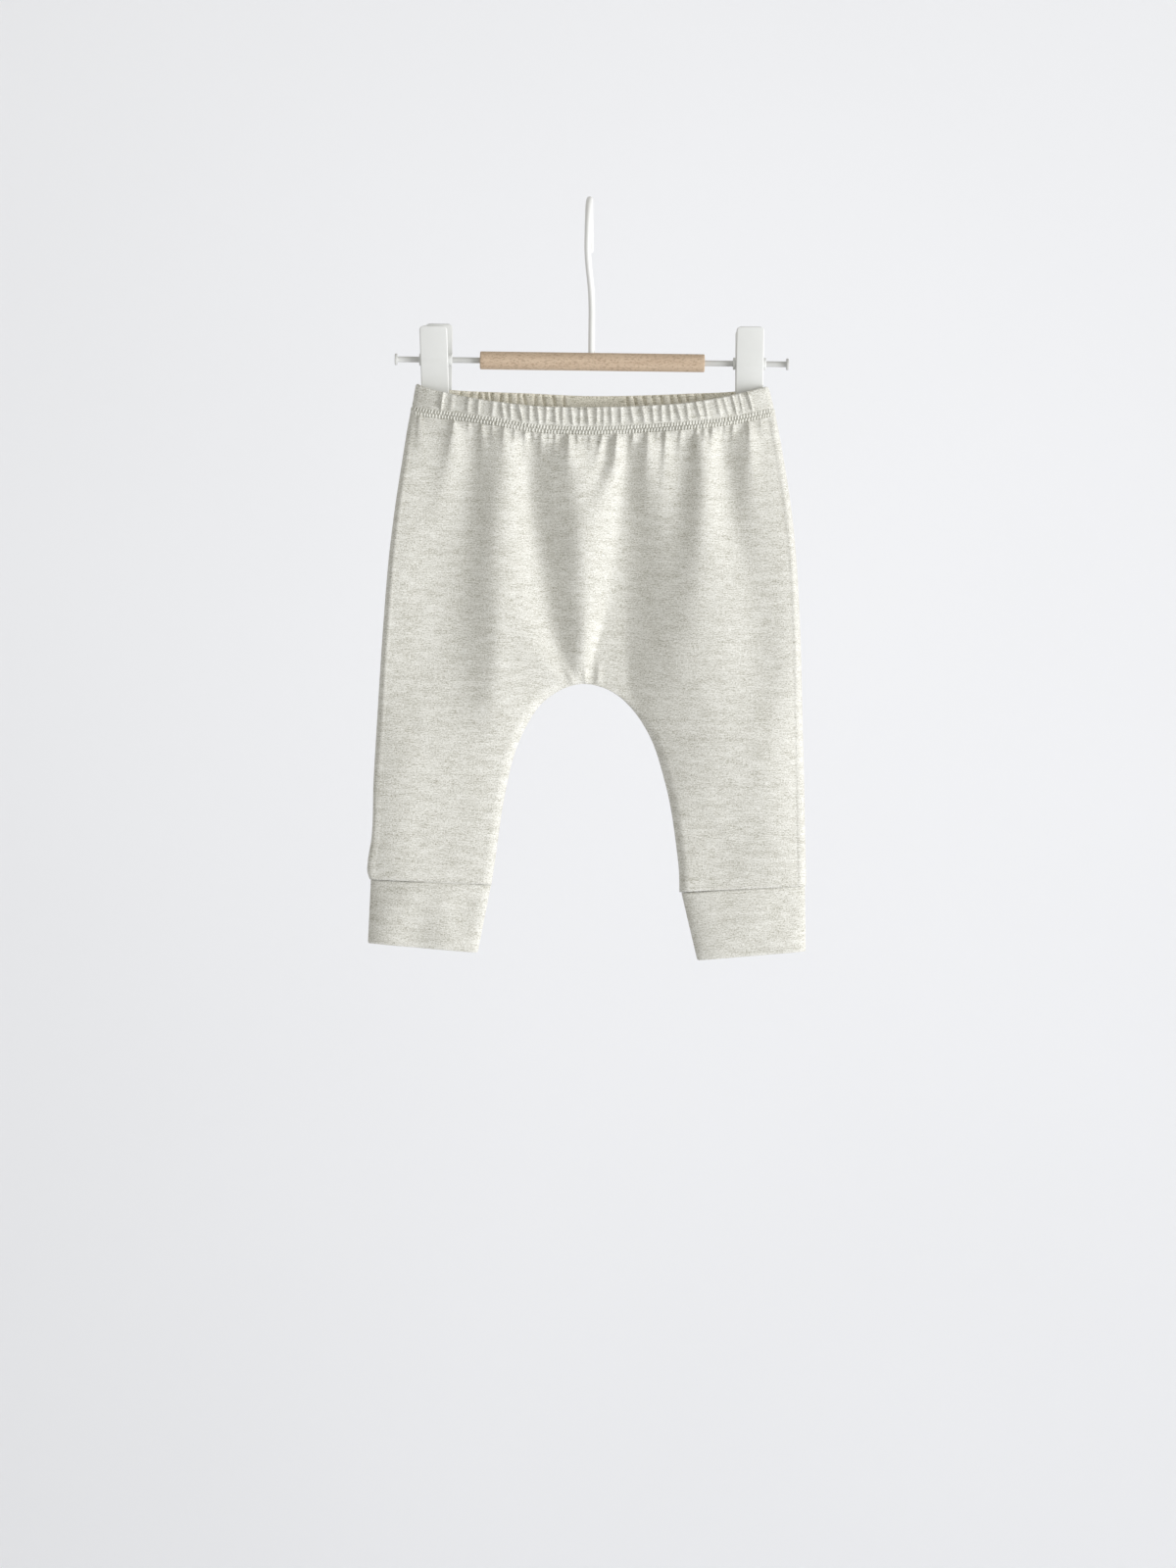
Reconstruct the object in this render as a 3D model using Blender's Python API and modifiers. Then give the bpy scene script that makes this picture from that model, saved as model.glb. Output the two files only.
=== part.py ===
"""Baby leggings in marl jersey, hung by the back of the waistband from a small clip hanger.

The leggings are a front and a back panel, an elastic waistband and two folded cuffs. The hanger is a
wire hook in a wooden grip, a rod through the grip and two spring clips on the rod. Metres, +Z up, the
front faces -Y. The origin is where the hook rests, and the whole thing hangs a little lower on its right.
"""

import math
from collections import namedtuple

import bmesh
import bpy
import numpy as np
from mathutils import Matrix

MM = 0.001
NAME = "leggings_on_hanger"
GAP = 0.3 * MM  # between pieces that meet
WELD = 0.001 * MM
BAND_GAP = 0.6 * MM  # under the waistband, whose seam curves between a panel's wider columns
TILT = math.radians(0.75)  # the right end hangs lower

# Cloth.
PANEL_WALL = 1.2 * MM
BAND_WALL = 2.4 * MM
BAND_MIDDLE_Z = -118.0 * MM
CUFF_WALL = 2.0 * MM  # the cuff is folded double
CUFF_HALF_DEPTH = 6.4 * MM
CUFF_SQUARENESS = 2.5
SEAM_PLANE_Y = -2.5 * MM
APEX_X = 0.2 * MM  # the top of the arch between the legs
APEX_Z = -281.6 * MM
SIDE_ROW_AT_APEX_Z = -268.0 * MM  # the row that ends at the apex starts here at the side seam
SEAM_ROLL = 7.0 * MM  # how far the inseam's rounded edge reaches into the leg
SEAM_BELLY_RUN = 42.0 * MM

# Grid of a panel's half.
EDGE_COLUMNS = np.array([0.0, 0.6, 2.0, 4.4, 8.0]) * MM  # from either edge
MIDDLE_COLUMNS = 10
ROWS_ABOVE_APEX = 13
ROWS_BELOW_APEX = 10
INSEAM_STEPS = 401
FINE_STEPS = 4001
ROWS_CROWDING = 1.3  # above 1 sets the rows closer together by the apex
LIP_ROWS = (0.925, 0.965)  # shares of the leg, where the cloth laps over the cuff

# Gathers of the waistband, and the four points of each.
GATHERS = 80
POINTS_PER_GATHER = 4
GATHER_OUTSIDE = 0.45 * MM
GATHER_INSIDE = 0.25 * MM
GATHER_PRESSED = 0.15  # share left where the clips and the left side seam press it flat
PRESSED_RUN = 24.0 * MM
CALM_SEAM_RUN = 11.0 * MM
PRESSED_FADE = 5.0 * MM
UNEVEN = 0.22  # share by which the gathers differ
CUFF_POINTS = 28

# Hanger.
HOOK_RADIUS = 1.9 * MM
HOOK_SEAT_DEPTH = 3.0 * MM
ROD_RADIUS = 1.7 * MM
ROD_HEIGHT_Z = -92.8 * MM
ROD_LENGTH = 230.7 * MM
ROD_CENTRE_X = 2.35 * MM
ROD_HEAD_RADIUS = 3.4 * MM
ROD_HEAD_THICKNESS = 1.5 * MM
GRIP_RADIUS = 5.25 * MM
GRIP_LENGTH = 131.5 * MM
GRIP_CENTRE_X = 2.65 * MM
GRIP_EDGE = 0.6 * MM
CLIP_WIDTH = 16.2 * MM
CLIP_CORNER = 2.2 * MM
PLATE_THICKNESS = 2.0 * MM
PLATE_EDGE = 0.45 * MM
BARREL_RADIUS = 3.6 * MM
BARREL_OVERHANG = 1.6 * MM
JAW_HALF_GAP = 1.6 * MM  # inner faces either side of the gripped band
JAW_BELOW_ROD = 29.0 * MM
JAW_FLAT_FROM = 12.0 * MM  # below this the jaws are parallel
PIVOT_HALF_GAP = 4.0 * MM
BORE_OVERRUN = 10.0 * MM  # how much longer a bore's cutter is than its piece
SEAT_OVERRUN = 5.0 * MM  # how far the cutter of the hook's seat stands out of the grip
BORE_SIDES = 16
BARREL_SIDES = 20
GRIP_SIDES = 32
ROD_SIDES = 16
SHARP_ANGLE = math.radians(40)
PLATE_EDGE_ANGLE = math.radians(50)

# The garment at each height, in mm: its two edges, how deep and how far in its rounded edge reaches,
# how far its front and back bulge beyond that, and how far in from the edge the bulge is full.
Level = namedtuple("Level", "z left right edge run front back belly_run")
LEVELS = (
    Level(-107, -100.8, 106.6, 3.1, 3.5, 8.0, 0.0, 100),
    Level(-113, -101.8, 108.3, 3.1, 3.5, 8.8, 0.0, 100),
    Level(-124, -103.4, 110.5, 3.1, 3.5, 9.5, 0.0, 100),
    Level(-135, -105.5, 112.8, 3.4, 4.5, 11.0, 2.5, 98),
    Level(-150, -108.0, 115.6, 4.0, 6.0, 12.0, 5.0, 95),
    Level(-180, -112.4, 120.5, 4.5, 7.0, 12.8, 8.5, 85),
    Level(-205, -115.2, 123.2, 4.6, 7.5, 12.6, 9.2, 76),
    Level(-250, -118.4, 126.0, 4.5, 7.5, 11.0, 9.0, 58),
    Level(-302, -121.0, 127.9, 4.3, 7.2, 8.0, 7.0, 44),
    Level(-340, -122.4, 129.5, 4.1, 7.0, 5.2, 4.8, 39),
    Level(-375, -123.1, 131.0, 4.0, 7.0, 4.0, 3.6, 36),
    Level(-388, -125.0, 131.5, 4.0, 7.0, 3.8, 3.4, 35),
    Level(-393, -125.1, 131.7, 4.0, 7.0, 3.6, 3.2, 35),
    Level(-398, -123.4, 131.6, 3.9, 7.0, 3.2, 2.9, 35),
)

# The inseam from the left cuff over the apex to the right cuff, in mm.
SeamPoint = namedtuple("SeamPoint", "x z")
INSEAM = (
    SeamPoint(-52.4, -399.8),
    SeamPoint(-50.5, -386.2),
    SeamPoint(-44.6, -344.0),
    SeamPoint(-39.5, -322.1),
    SeamPoint(-32.4, -305.5),
    SeamPoint(-25.2, -294.4),
    SeamPoint(-16.1, -287.0),
    SeamPoint(-7.1, -282.8),
    SeamPoint(0.2, -281.6),
    SeamPoint(9.4, -283.0),
    SeamPoint(20.4, -288.4),
    SeamPoint(29.7, -297.3),
    SeamPoint(37.1, -308.1),
    SeamPoint(48.5, -339.1),
    SeamPoint(55.4, -375.6),
    SeamPoint(57.3, -392.0),
    SeamPoint(57.6, -402.6),
)

# Heights of the waistband's top edge and of its lower seam across the front and the back, in mm.
BandPoint = namedtuple("BandPoint", "x front_rim back_rim front_seam back_seam")
BAND = (
    BandPoint(-104, -107.0, -107.0, -122.4, -122.4),
    BandPoint(-93, -110.6, -109.2, -124.3, -123.6),
    BandPoint(-80, -113.4, -110.4, -125.8, -124.7),
    BandPoint(-51, -118.3, -111.4, -129.6, -125.7),
    BandPoint(-34, -120.0, -111.8, -132.4, -126.1),
    BandPoint(0, -120.6, -112.9, -133.8, -127.2),
    BandPoint(35, -119.2, -112.0, -132.0, -126.3),
    BandPoint(58, -117.3, -110.8, -130.0, -125.1),
    BandPoint(87, -111.7, -109.2, -126.0, -123.5),
    BandPoint(108, -106.5, -106.5, -121.0, -121.0),
)

# Folds of the cloth, in mm: where each starts under the band and ends, how far it stands out (a trough is
# negative) and how wide it is.
Fold = namedtuple("Fold", "x_top z_top x_end z_end height width")
FRONT_FOLDS = (
    Fold(-92, -126, -92, -165, -0.8, 6),
    Fold(-78, -127, -77, -175, 1.2, 6),
    Fold(-67, -128, -66, -268, -2.0, 9),
    Fold(-50, -129, -50, -300, 2.3, 10),
    Fold(-29, -132, -9, -280, -2.3, 10),
    Fold(-8, -133, 1, -284, 2.3, 9),
    Fold(16, -133, 17, -172, 0.8, 5),
    Fold(25, -133, 26, -284, -2.1, 11),
    Fold(37, -131, 38, -195, 1.0, 6),
    Fold(53, -130, 54, -200, -1.2, 7),
    Fold(69, -128, 67, -240, 1.9, 9),
    Fold(82, -126, 82, -200, -1.3, 7),
    Fold(95, -123, 96, -175, 1.0, 6),
)
BACK_FOLDS = (
    Fold(-90, -125, -91, -185, -1.0, 7),
    Fold(-74, -126, -72, -230, 1.7, 9),
    Fold(-55, -126, -52, -270, -1.9, 9),
    Fold(-37, -127, -30, -290, 2.0, 10),
    Fold(-18, -127, -9, -282, -2.1, 9),
    Fold(2, -128, 2, -284, 2.2, 9),
    Fold(21, -127, 15, -282, -1.9, 9),
    Fold(40, -127, 38, -262, 1.8, 10),
    Fold(60, -126, 60, -245, -1.7, 9),
    Fold(79, -125, 80, -215, 1.5, 8),
    Fold(96, -124, 98, -175, -0.9, 6),
)
CROTCH_GATHERS = (
    Fold(-10.5, -266, -5.5, -283, 1.0, 2.6),
    Fold(1.0, -268, 0.5, -283, 1.1, 2.4),
    Fold(9.0, -267, 8.0, -283, 1.0, 2.6),
)
FOLD_FADE_IN = 9.0 * MM
FOLD_FADE_OUT = 0.45  # share of a fold's length
FOLD_TO_SIDE = 12.0 * MM  # folds die out this near a seam
FOLD_TO_INSEAM = 9.0 * MM
PLEAT_TO_INSEAM = 3.0 * MM

# The cuffs' four corners, in mm: top and hem, the outer and the inner corner.
CUFF_COLUMNS = "name top_out_x top_out_z top_in_x top_in_z hem_out_x hem_out_z hem_in_x hem_in_z"
Cuff = namedtuple("Cuff", CUFF_COLUMNS)
CUFFS = (
    Cuff("cuff_left", -122.9, -397.6, -52.6, -400.4, -124.2, -434.8, -59.9, -439.6),
    Cuff("cuff_right", 131.0, -398.2, 58.8, -403.4, 132.0, -436.2, 68.6, -442.4),
)

# The hook's centre line, in mm, from its tip behind the rail over the top and down to the grip.
HookPoint = namedtuple("HookPoint", "x y z")
HOOK = (
    HookPoint(0.6, 15.0, -27.0),
    HookPoint(0.5, 17.2, -20.0),
    HookPoint(0.3, 16.6, -10.5),
    HookPoint(0.1, 12.0, -2.6),
    HookPoint(0.0, 5.4, 1.1),
    HookPoint(0.0, 0.0, 1.9),
    HookPoint(-0.2, -6.2, 1.0),
    HookPoint(-0.6, -12.9, -3.0),
    HookPoint(-0.8, -17.2, -10.5),
    HookPoint(-0.9, -18.0, -19.0),
    HookPoint(-0.9, -15.6, -29.0),
    HookPoint(-0.1, -9.8, -39.0),
    HookPoint(0.9, -4.2, -46.5),
    HookPoint(1.6, -0.9, -53.5),
    HookPoint(1.9, 0.0, -60.0),
    HookPoint(2.0, 0.0, -74.0),
    HookPoint(2.1, 0.0, -90.3),
)
HOOK_POINTS = 44

# The clips, in mm: how far each handle reaches above the rod and leans out at its top.
Clip = namedtuple("Clip", "side x front_top front_lean back_top back_lean back_shift")
CLIPS = (
    Clip("left", -89.0, 18.3, 5.6, 22.0, 1.2, 1.3),
    Clip("right", 94.7, 20.5, 3.6, 20.5, 3.6, 0.0),
)

# Material: colour, roughness, metallic.
Finish = namedtuple("Finish", "colour roughness metallic")
JERSEY = Finish((0.66, 0.65, 0.59), 0.95, 0.0)
BAND_JERSEY = Finish((0.63, 0.62, 0.56), 0.95, 0.0)
CUFF_JERSEY = Finish((0.67, 0.66, 0.60), 0.95, 0.0)
WHITE_WIRE = Finish((0.82, 0.82, 0.81), 0.45, 0.0)
WHITE_PLATE = Finish((0.74, 0.75, 0.73), 0.5, 0.0)
BEECH = Finish((0.62, 0.45, 0.31), 0.65, 0.0)


def spline(at, known, values):
    """A smooth curve through rising known places, read at the places asked for."""
    slopes = np.gradient(values, known)
    at = np.clip(at, known[0], known[-1])
    i = np.clip(np.searchsorted(known, at) - 1, 0, len(known) - 2)
    step = known[i + 1] - known[i]
    t = (at - known[i]) / step
    rise = values[i + 1] - values[i]
    start = slopes[i] * step
    end = slopes[i + 1] * step
    return values[i] + start * t + (3 * rise - 2 * start - end) * t**2 + (start + end - 2 * rise) * t**3


def table_column(table, key, column):
    """Two columns of a table in metres, sorted by the first."""
    rows = sorted((getattr(row, key) * MM, getattr(row, column) * MM) for row in table)
    return np.array(rows).T


def level(column, z):
    return spline(z, *table_column(LEVELS, "z", column))


def band_height(column, x):
    return spline(x, *table_column(BAND, "x", column))


def rounded(distance, run):
    """0 at the edge with a square start, 1 from run on: a quarter ellipse."""
    t = np.clip(distance / run, 0, 1)
    return np.sqrt(1 - (1 - t) ** 2)


def swollen(distance, run):
    """0 at the edge with a slanted start, 1 from run on: half a parabola."""
    t = np.clip(distance / run, 0, 1)
    return 1 - (1 - t) ** 2


def eased(t):
    t = np.clip(t, 0, 1)
    return t * t * (3 - 2 * t)


def route(points, count):
    """Points spaced evenly along a smooth curve through the given ones."""
    points = np.array(points)
    along = np.append(0, np.cumsum(np.linalg.norm(np.diff(points, axis=0), axis=1)))
    fine = np.linspace(0, along[-1], 40 * len(points))
    path = np.column_stack([spline(fine, along, points[:, i]) for i in range(points.shape[1])])
    reached = np.append(0, np.cumsum(np.linalg.norm(np.diff(path, axis=0), axis=1)))
    even = np.linspace(0, reached[-1], count)
    return np.column_stack([np.interp(even, reached, path[:, i]) for i in range(points.shape[1])])


INSEAM_LINE = route([(p.x * MM, p.z * MM) for p in INSEAM], INSEAM_STEPS)
APEX_INDEX = int(np.argmax(INSEAM_LINE[:, 1]))


def to_inseam(x, z):
    """Distance of each point from the inseam."""
    start = INSEAM_LINE[:-1]
    run = np.diff(INSEAM_LINE, axis=0)
    flat = np.column_stack([x.ravel(), z.ravel()])
    away = flat[:, None, :] - start[None, :, :]
    share = np.clip((away * run).sum(axis=2) / (run * run).sum(axis=1), 0, 1)
    gap = away - share[:, :, None] * run
    return np.sqrt((gap**2).sum(axis=2).min(axis=1)).reshape(x.shape)


def folds(table, x, z):
    """How far the folds stand out: each a soft ridge along its line, fading in below the band and out."""
    total = np.zeros_like(x)
    for fold in table:
        top = fold.z_top * MM
        end = fold.z_end * MM
        share = np.clip((top - z) / (top - end), 0, 1)
        axis = (fold.x_top + (fold.x_end - fold.x_top) * share) * MM
        fade = eased((top - z) / FOLD_FADE_IN) * eased((1 - share) / FOLD_FADE_OUT)
        total += fold.height * MM * fade * np.exp(-(((x - axis) / (fold.width * MM)) ** 2))
    return total


def panel_depth(x, z, belly, fold_table):
    """How far a panel's outside stands from the plane of the seams."""
    side = np.minimum(x - level("left", z), level("right", z) - x)
    inseam = to_inseam(x, z)
    edge = level("edge", z) * rounded(side, level("run", z)) * rounded(inseam, SEAM_ROLL)
    bulge = level(belly, z) * swollen(side, level("belly_run", z)) * swollen(inseam, SEAM_BELLY_RUN)
    creases = folds(fold_table, x, z) * swollen(side, FOLD_TO_SIDE) * swollen(inseam, FOLD_TO_INSEAM)
    pleats = folds(CROTCH_GATHERS, x, z) * rounded(inseam, PLEAT_TO_INSEAM)
    return edge + bulge + creases + pleats


def half_rows(side, seam_column):
    """Ends of each row of a panel's half in the plane: on the side seam, and on the centre or inseam."""
    edge_column = "left" if side < 0 else "right"
    out_top = level(edge_column, BAND_MIDDLE_Z)
    out_top_z = band_height(seam_column, out_top) - BAND_GAP
    leg = INSEAM_LINE[APEX_INDEX::-1] if side < 0 else INSEAM_LINE[APEX_INDEX:]
    reached = np.append(0, np.cumsum(np.linalg.norm(np.diff(leg, axis=0), axis=1)))
    down = np.linspace(0, 1, ROWS_ABOVE_APEX + 1)
    crowded = np.linspace(0, 1, ROWS_BELOW_APEX)[1:] ** ROWS_CROWDING
    leg_share = np.append(LIP_ROWS[0] * crowded, [LIP_ROWS[1], 1])
    centre_top = band_height(seam_column, APEX_X) - BAND_GAP
    inner = np.column_stack([np.full(len(down), APEX_X), centre_top + (APEX_Z - centre_top) * down])
    below = np.column_stack([np.interp(leg_share * reached[-1], reached, leg[:, i]) for i in (0, 1)])
    inner = np.vstack([inner, below])
    cuff = CUFFS[0] if side < 0 else CUFFS[1]
    bottom_z = cuff.top_out_z * MM + GAP
    outer_z = np.append(out_top_z + (SIDE_ROW_AT_APEX_Z - out_top_z) * down,
                        SIDE_ROW_AT_APEX_Z + (bottom_z - SIDE_ROW_AT_APEX_Z) * leg_share)
    outer = np.column_stack([level(edge_column, outer_z), outer_z])
    return outer, inner


def half_plane(side, seam_column):
    """The half's grid of points in the plane of the seams, rows by columns, from the side seam inwards."""
    outer, inner = half_rows(side, seam_column)
    width = np.linalg.norm(inner - outer, axis=1)[:, None]
    middle = np.linspace(0, 1, MIDDLE_COLUMNS + 2)[1:-1]
    edge = EDGE_COLUMNS[-1]
    from_side = np.hstack([
        np.repeat(EDGE_COLUMNS[None, :], len(width), axis=0),
        edge + (width - 2 * edge) * middle,
        width - EDGE_COLUMNS[::-1],
    ])
    share = (from_side / width)[:, :, None]
    plane = outer[:, None, :] * (1 - share) + inner[:, None, :] * share
    # The top row follows the band's seam, and the rows below it straighten out.
    sag = band_height(seam_column, plane[0, :, 0]) - BAND_GAP - plane[0, :, 1]
    rows_left = np.linspace(1, 0, len(width))[:, None]
    plane[:, :, 1] += sag * rows_left**2
    return plane


def grid_normals(points, front):
    """Unit normals of a grid, pointing to the outside."""
    normal = np.cross(np.gradient(points, axis=1), np.gradient(points, axis=0))
    normal /= np.linalg.norm(normal, axis=2, keepdims=True)
    flip = np.sign(normal[:, :, 1]) != front
    normal[flip] *= -1
    return normal


def edge_normals(edge, inside):
    """Unit normals of a seam in the plane of the seams, pointing away from the cloth."""
    along = np.gradient(edge, axis=0)
    normal = np.column_stack([along[:, 2], np.zeros(len(edge)), -along[:, 0]])
    normal /= np.linalg.norm(normal, axis=1, keepdims=True)
    away = ((edge - inside) * normal).sum(axis=1)
    normal[away < 0] *= -1
    return normal


def panel_halves(front, seam_column, belly, fold_table):
    """Outside points and outward normals of both halves of a panel. front is -1, or 1 for the back."""
    halves = []
    for side in (-1, 1):
        plane = half_plane(side, seam_column)
        x = plane[:, :, 0]
        z = plane[:, :, 1]
        depth = panel_depth(x, z, belly, fold_table)
        depth[:, 0] = 0
        depth[ROWS_ABOVE_APEX:, -1] = 0
        points = np.dstack([x, SEAM_PLANE_Y + front * (GAP / 2 + depth), z])
        normals = grid_normals(points, front)
        normals[:, 0] = edge_normals(points[:, 0], points[:, 2])
        leg = slice(ROWS_ABOVE_APEX, None)
        normals[leg, -1] = edge_normals(points[leg, -1], points[leg, -3])
        for end in (0, -1):
            normals[end, :, 2] = 0
        halves.append([points, normals])
    shared = (halves[0][1][:ROWS_ABOVE_APEX, -1] + halves[1][1][:ROWS_ABOVE_APEX, -1]) / 2
    for half in halves:
        half[1][:ROWS_ABOVE_APEX, -1] = shared
        half[1][ROWS_ABOVE_APEX, -1] = (0, 0, -1)
        half[1] /= np.linalg.norm(half[1], axis=2, keepdims=True)
    return halves


def grid_faces(first, rows, columns):
    start = first + np.arange(rows * columns).reshape(rows, columns)
    return np.stack([start[:-1, :-1], start[:-1, 1:], start[1:, 1:], start[1:, :-1]], axis=2).reshape(-1, 4)


def strip_faces(one, other):
    """Faces between two lines of vertices."""
    return np.column_stack([one[:-1], one[1:], other[1:], other[:-1]])


def panel_mesh(name, front, seam_column, belly, fold_table):
    """A panel's wall: its outside, its inside a wall's thickness in, and the cut edges between them."""
    vertices = []
    faces = []
    for points, normals in panel_halves(front, seam_column, belly, fold_table):
        inside = points - normals * PANEL_WALL
        least = SEAM_PLANE_Y + front * GAP / 2
        held_off = np.maximum if front > 0 else np.minimum
        inside[:, :, 1] = held_off(inside[:, :, 1], least)
        rows, columns = points.shape[:2]
        first = len(vertices) * rows * columns
        vertices += [points.reshape(-1, 3), inside.reshape(-1, 3)]
        outside_ids = first + np.arange(rows * columns).reshape(rows, columns)
        inside_ids = outside_ids + rows * columns
        faces += [grid_faces(first, rows, columns), grid_faces(first + rows * columns, rows, columns)]
        for line in (np.s_[:, 0], np.s_[0, :], np.s_[-1, :], np.s_[ROWS_ABOVE_APEX:, -1]):
            faces.append(strip_faces(outside_ids[line], inside_ids[line]))
    return new_mesh(name, np.vstack(vertices), np.vstack(faces))


def new_mesh(name, vertices, faces):
    """A closed mesh from points and faces, its doubles merged and its faces turned outwards."""
    mesh = bpy.data.meshes.new(name)
    mesh.from_pydata([tuple(v) for v in vertices], [], [tuple(int(i) for i in f) for f in faces])
    work = bmesh.new()
    work.from_mesh(mesh)
    bmesh.ops.remove_doubles(work, verts=work.verts, dist=WELD)
    bmesh.ops.recalc_face_normals(work, faces=work.faces)
    work.to_mesh(mesh)
    work.free()
    mesh.shade_smooth()
    return mesh


def looped_mesh(name, rings):
    """A wall that closes on itself both ways: rings[k, i] is point i of the k-th line round the wall."""
    lines, around = rings.shape[:2]
    ids = np.arange(lines * around).reshape(lines, around)
    beside = np.roll(ids, -1, axis=1)
    below = np.roll(ids, -1, axis=0)
    faces = np.stack([ids, beside, np.roll(below, -1, axis=1), below], axis=2)
    return new_mesh(name, rings.reshape(-1, 3), faces.reshape(-1, 4))


def band_loop():
    """Where each point round the waistband lies: its share of the width from -1 to 1, and front or back."""
    count = GATHERS * POINTS_PER_GATHER // 2
    half = (level("right", BAND_MIDDLE_Z) - level("left", BAND_MIDDLE_Z)) / 2
    lean = np.linspace(0, math.pi, FINE_STEPS)
    across = -np.cos(lean)
    shares = []
    for front, belly in ((-1, "front"), (1, "back")):
        y = band_depth(across, np.full_like(across, BAND_MIDDLE_Z), belly) * front
        reached = np.append(0, np.cumsum(np.hypot(np.diff(across * half), np.diff(y))))
        even = np.linspace(0, reached[-1], count, endpoint=False)
        shares.append(np.interp(even, reached, across) * -front)
    return np.concatenate(shares), np.repeat([-1, 1], count)


def band_depth(across, z, belly):
    left = level("left", z)
    half = (level("right", z) - left) / 2
    inwards = half * (1 - np.abs(across))
    edge = level("edge", z) + (BAND_WALL - PANEL_WALL) / 2
    run = level("run", z)
    return edge * rounded(inwards, run) + level(belly, z) * swollen(inwards, level("belly_run", z))


def waistband_mesh():
    """The gathered elastic band: a rippled wall with a rounded top."""
    across, front = band_loop()
    index = np.arange(len(across))
    wave = np.cos(2 * math.pi * index / POINTS_PER_GATHER)
    uneven = 1 - UNEVEN + UNEVEN * np.sin(index * 0.37) * np.cos(index * 0.113)
    half = (level("right", BAND_MIDDLE_Z) - level("left", BAND_MIDDLE_Z)) / 2
    inwards = half * (1 - np.abs(across))
    pressed = np.where(front > 0, 1 - eased((inwards - PRESSED_RUN) / PRESSED_FADE), 0)
    calm_seam = 1 - eased((inwards - CALM_SEAM_RUN) / PRESSED_FADE)
    calm = np.where((front < 0) & (across < 0), calm_seam, pressed)
    size = wave * uneven * (1 - (1 - GATHER_PRESSED) * calm)
    # Height share of the wall, share of its thickness in from the outside, and share of the ripple.
    profile = ((0, 0, 0.5), (0.5, 0, 1), (0.93, 0.12, 1), (1, 0.5, 0.6), (0.93, 0.88, 1), (0, 1, 0.5))
    rings = []
    for rise, inset, ripple in profile:
        x_flat = level("left", BAND_MIDDLE_Z) + half * (1 + across)
        seam = np.where(front < 0, band_height("front_seam", x_flat), band_height("back_seam", x_flat))
        rim = np.where(front < 0, band_height("front_rim", x_flat), band_height("back_rim", x_flat))
        z = seam + (rim - seam) * rise
        left = level("left", z)
        x = left + (level("right", z) - left) / 2 * (1 + across)
        depth = np.where(front < 0, band_depth(across, z, "front"), band_depth(across, z, "back"))
        flat = np.column_stack([x, SEAM_PLANE_Y + front * depth])
        along = np.roll(flat, -1, axis=0) - np.roll(flat, 1, axis=0)
        normal = np.column_stack([along[:, 1], -along[:, 0]])
        normal /= np.linalg.norm(normal, axis=1, keepdims=True)
        reach = GATHER_OUTSIDE + (GATHER_INSIDE - GATHER_OUTSIDE) * inset
        moved = flat + normal * (reach * ripple * size - BAND_WALL * inset)[:, None]
        rings.append(np.column_stack([moved, z]))
    return looped_mesh("waistband", np.array(rings))


def cuff_mesh(cuff):
    """A folded tube between the leg's end and the hem, flattened as it hangs."""
    angle = np.arange(CUFF_POINTS) * 2 * math.pi / CUFF_POINTS
    power = 2 / CUFF_SQUARENESS
    wide = np.sign(np.cos(angle)) * np.abs(np.cos(angle)) ** power
    deep = np.sign(np.sin(angle)) * np.abs(np.sin(angle)) ** power
    corners = np.array([[cuff.top_out_x, cuff.top_out_z], [cuff.top_in_x, cuff.top_in_z],
                        [cuff.hem_out_x, cuff.hem_out_z], [cuff.hem_in_x, cuff.hem_in_z]]) * MM
    # Share of the way down, and share of the wall's thickness in from the outside.
    outer_face = ((0, 0.1), (0.06, 0), (0.5, -0.1), (0.95, 0), (1, 0.25))
    inner_face = ((1, 0.75), (0.95, 1), (0.06, 1), (0, 0.9))
    rings = []
    for down, inset in outer_face + inner_face:
        out = corners[0] + (corners[2] - corners[0]) * down
        inner = corners[1] + (corners[3] - corners[1]) * down
        centre = (out + inner) / 2
        reach = (inner - out) / 2
        half_width = np.linalg.norm(reach)
        span = (half_width - inset * CUFF_WALL) / half_width
        depth = CUFF_HALF_DEPTH - inset * CUFF_WALL
        x = centre[0] + reach[0] * span * wide
        z = centre[1] + reach[1] * span * wide
        rings.append(np.column_stack([x, SEAM_PLANE_Y + depth * deep, z]))
    return looped_mesh(cuff.name, np.array(rings))


def material(name, finish):
    made = bpy.data.materials.new(name)
    made.use_nodes = True
    shader = made.node_tree.nodes["Principled BSDF"]
    shader.inputs["Base Color"].default_value = (*finish.colour, 1)
    shader.inputs["Roughness"].default_value = finish.roughness
    shader.inputs["Metallic"].default_value = finish.metallic
    made.diffuse_color = (*finish.colour, 1)
    return made


def place(name, data, finish, parent, collection, location=(0, 0, 0), rotation=(0, 0, 0)):
    """An object in the hanging frame, with a material of its own."""
    made = bpy.data.objects.new(name, data)
    made.location = location
    made.rotation_euler = rotation
    made.parent = parent
    collection.objects.link(made)
    if finish:
        data.materials.append(material(name + "_finish", finish))
    return made


def add_modifier(obj, kind, **settings):
    made = obj.modifiers.new(kind.lower(), kind)
    for key, value in settings.items():
        setattr(made, key, value)
    return made


def cylinder_mesh(name, radius, length, segments):
    """A cylinder along X about the origin."""
    mesh = bpy.data.meshes.new(name)
    work = bmesh.new()
    bmesh.ops.create_cone(work, cap_ends=True, segments=segments, radius1=radius, radius2=radius,
                          depth=length)
    bmesh.ops.rotate(work, verts=work.verts, matrix=Matrix.Rotation(math.pi / 2, 3, "Y"))
    work.to_mesh(mesh)
    work.free()
    mesh.shade_smooth()
    mesh.set_sharp_from_angle(angle=SHARP_ANGLE)
    return mesh


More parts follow.
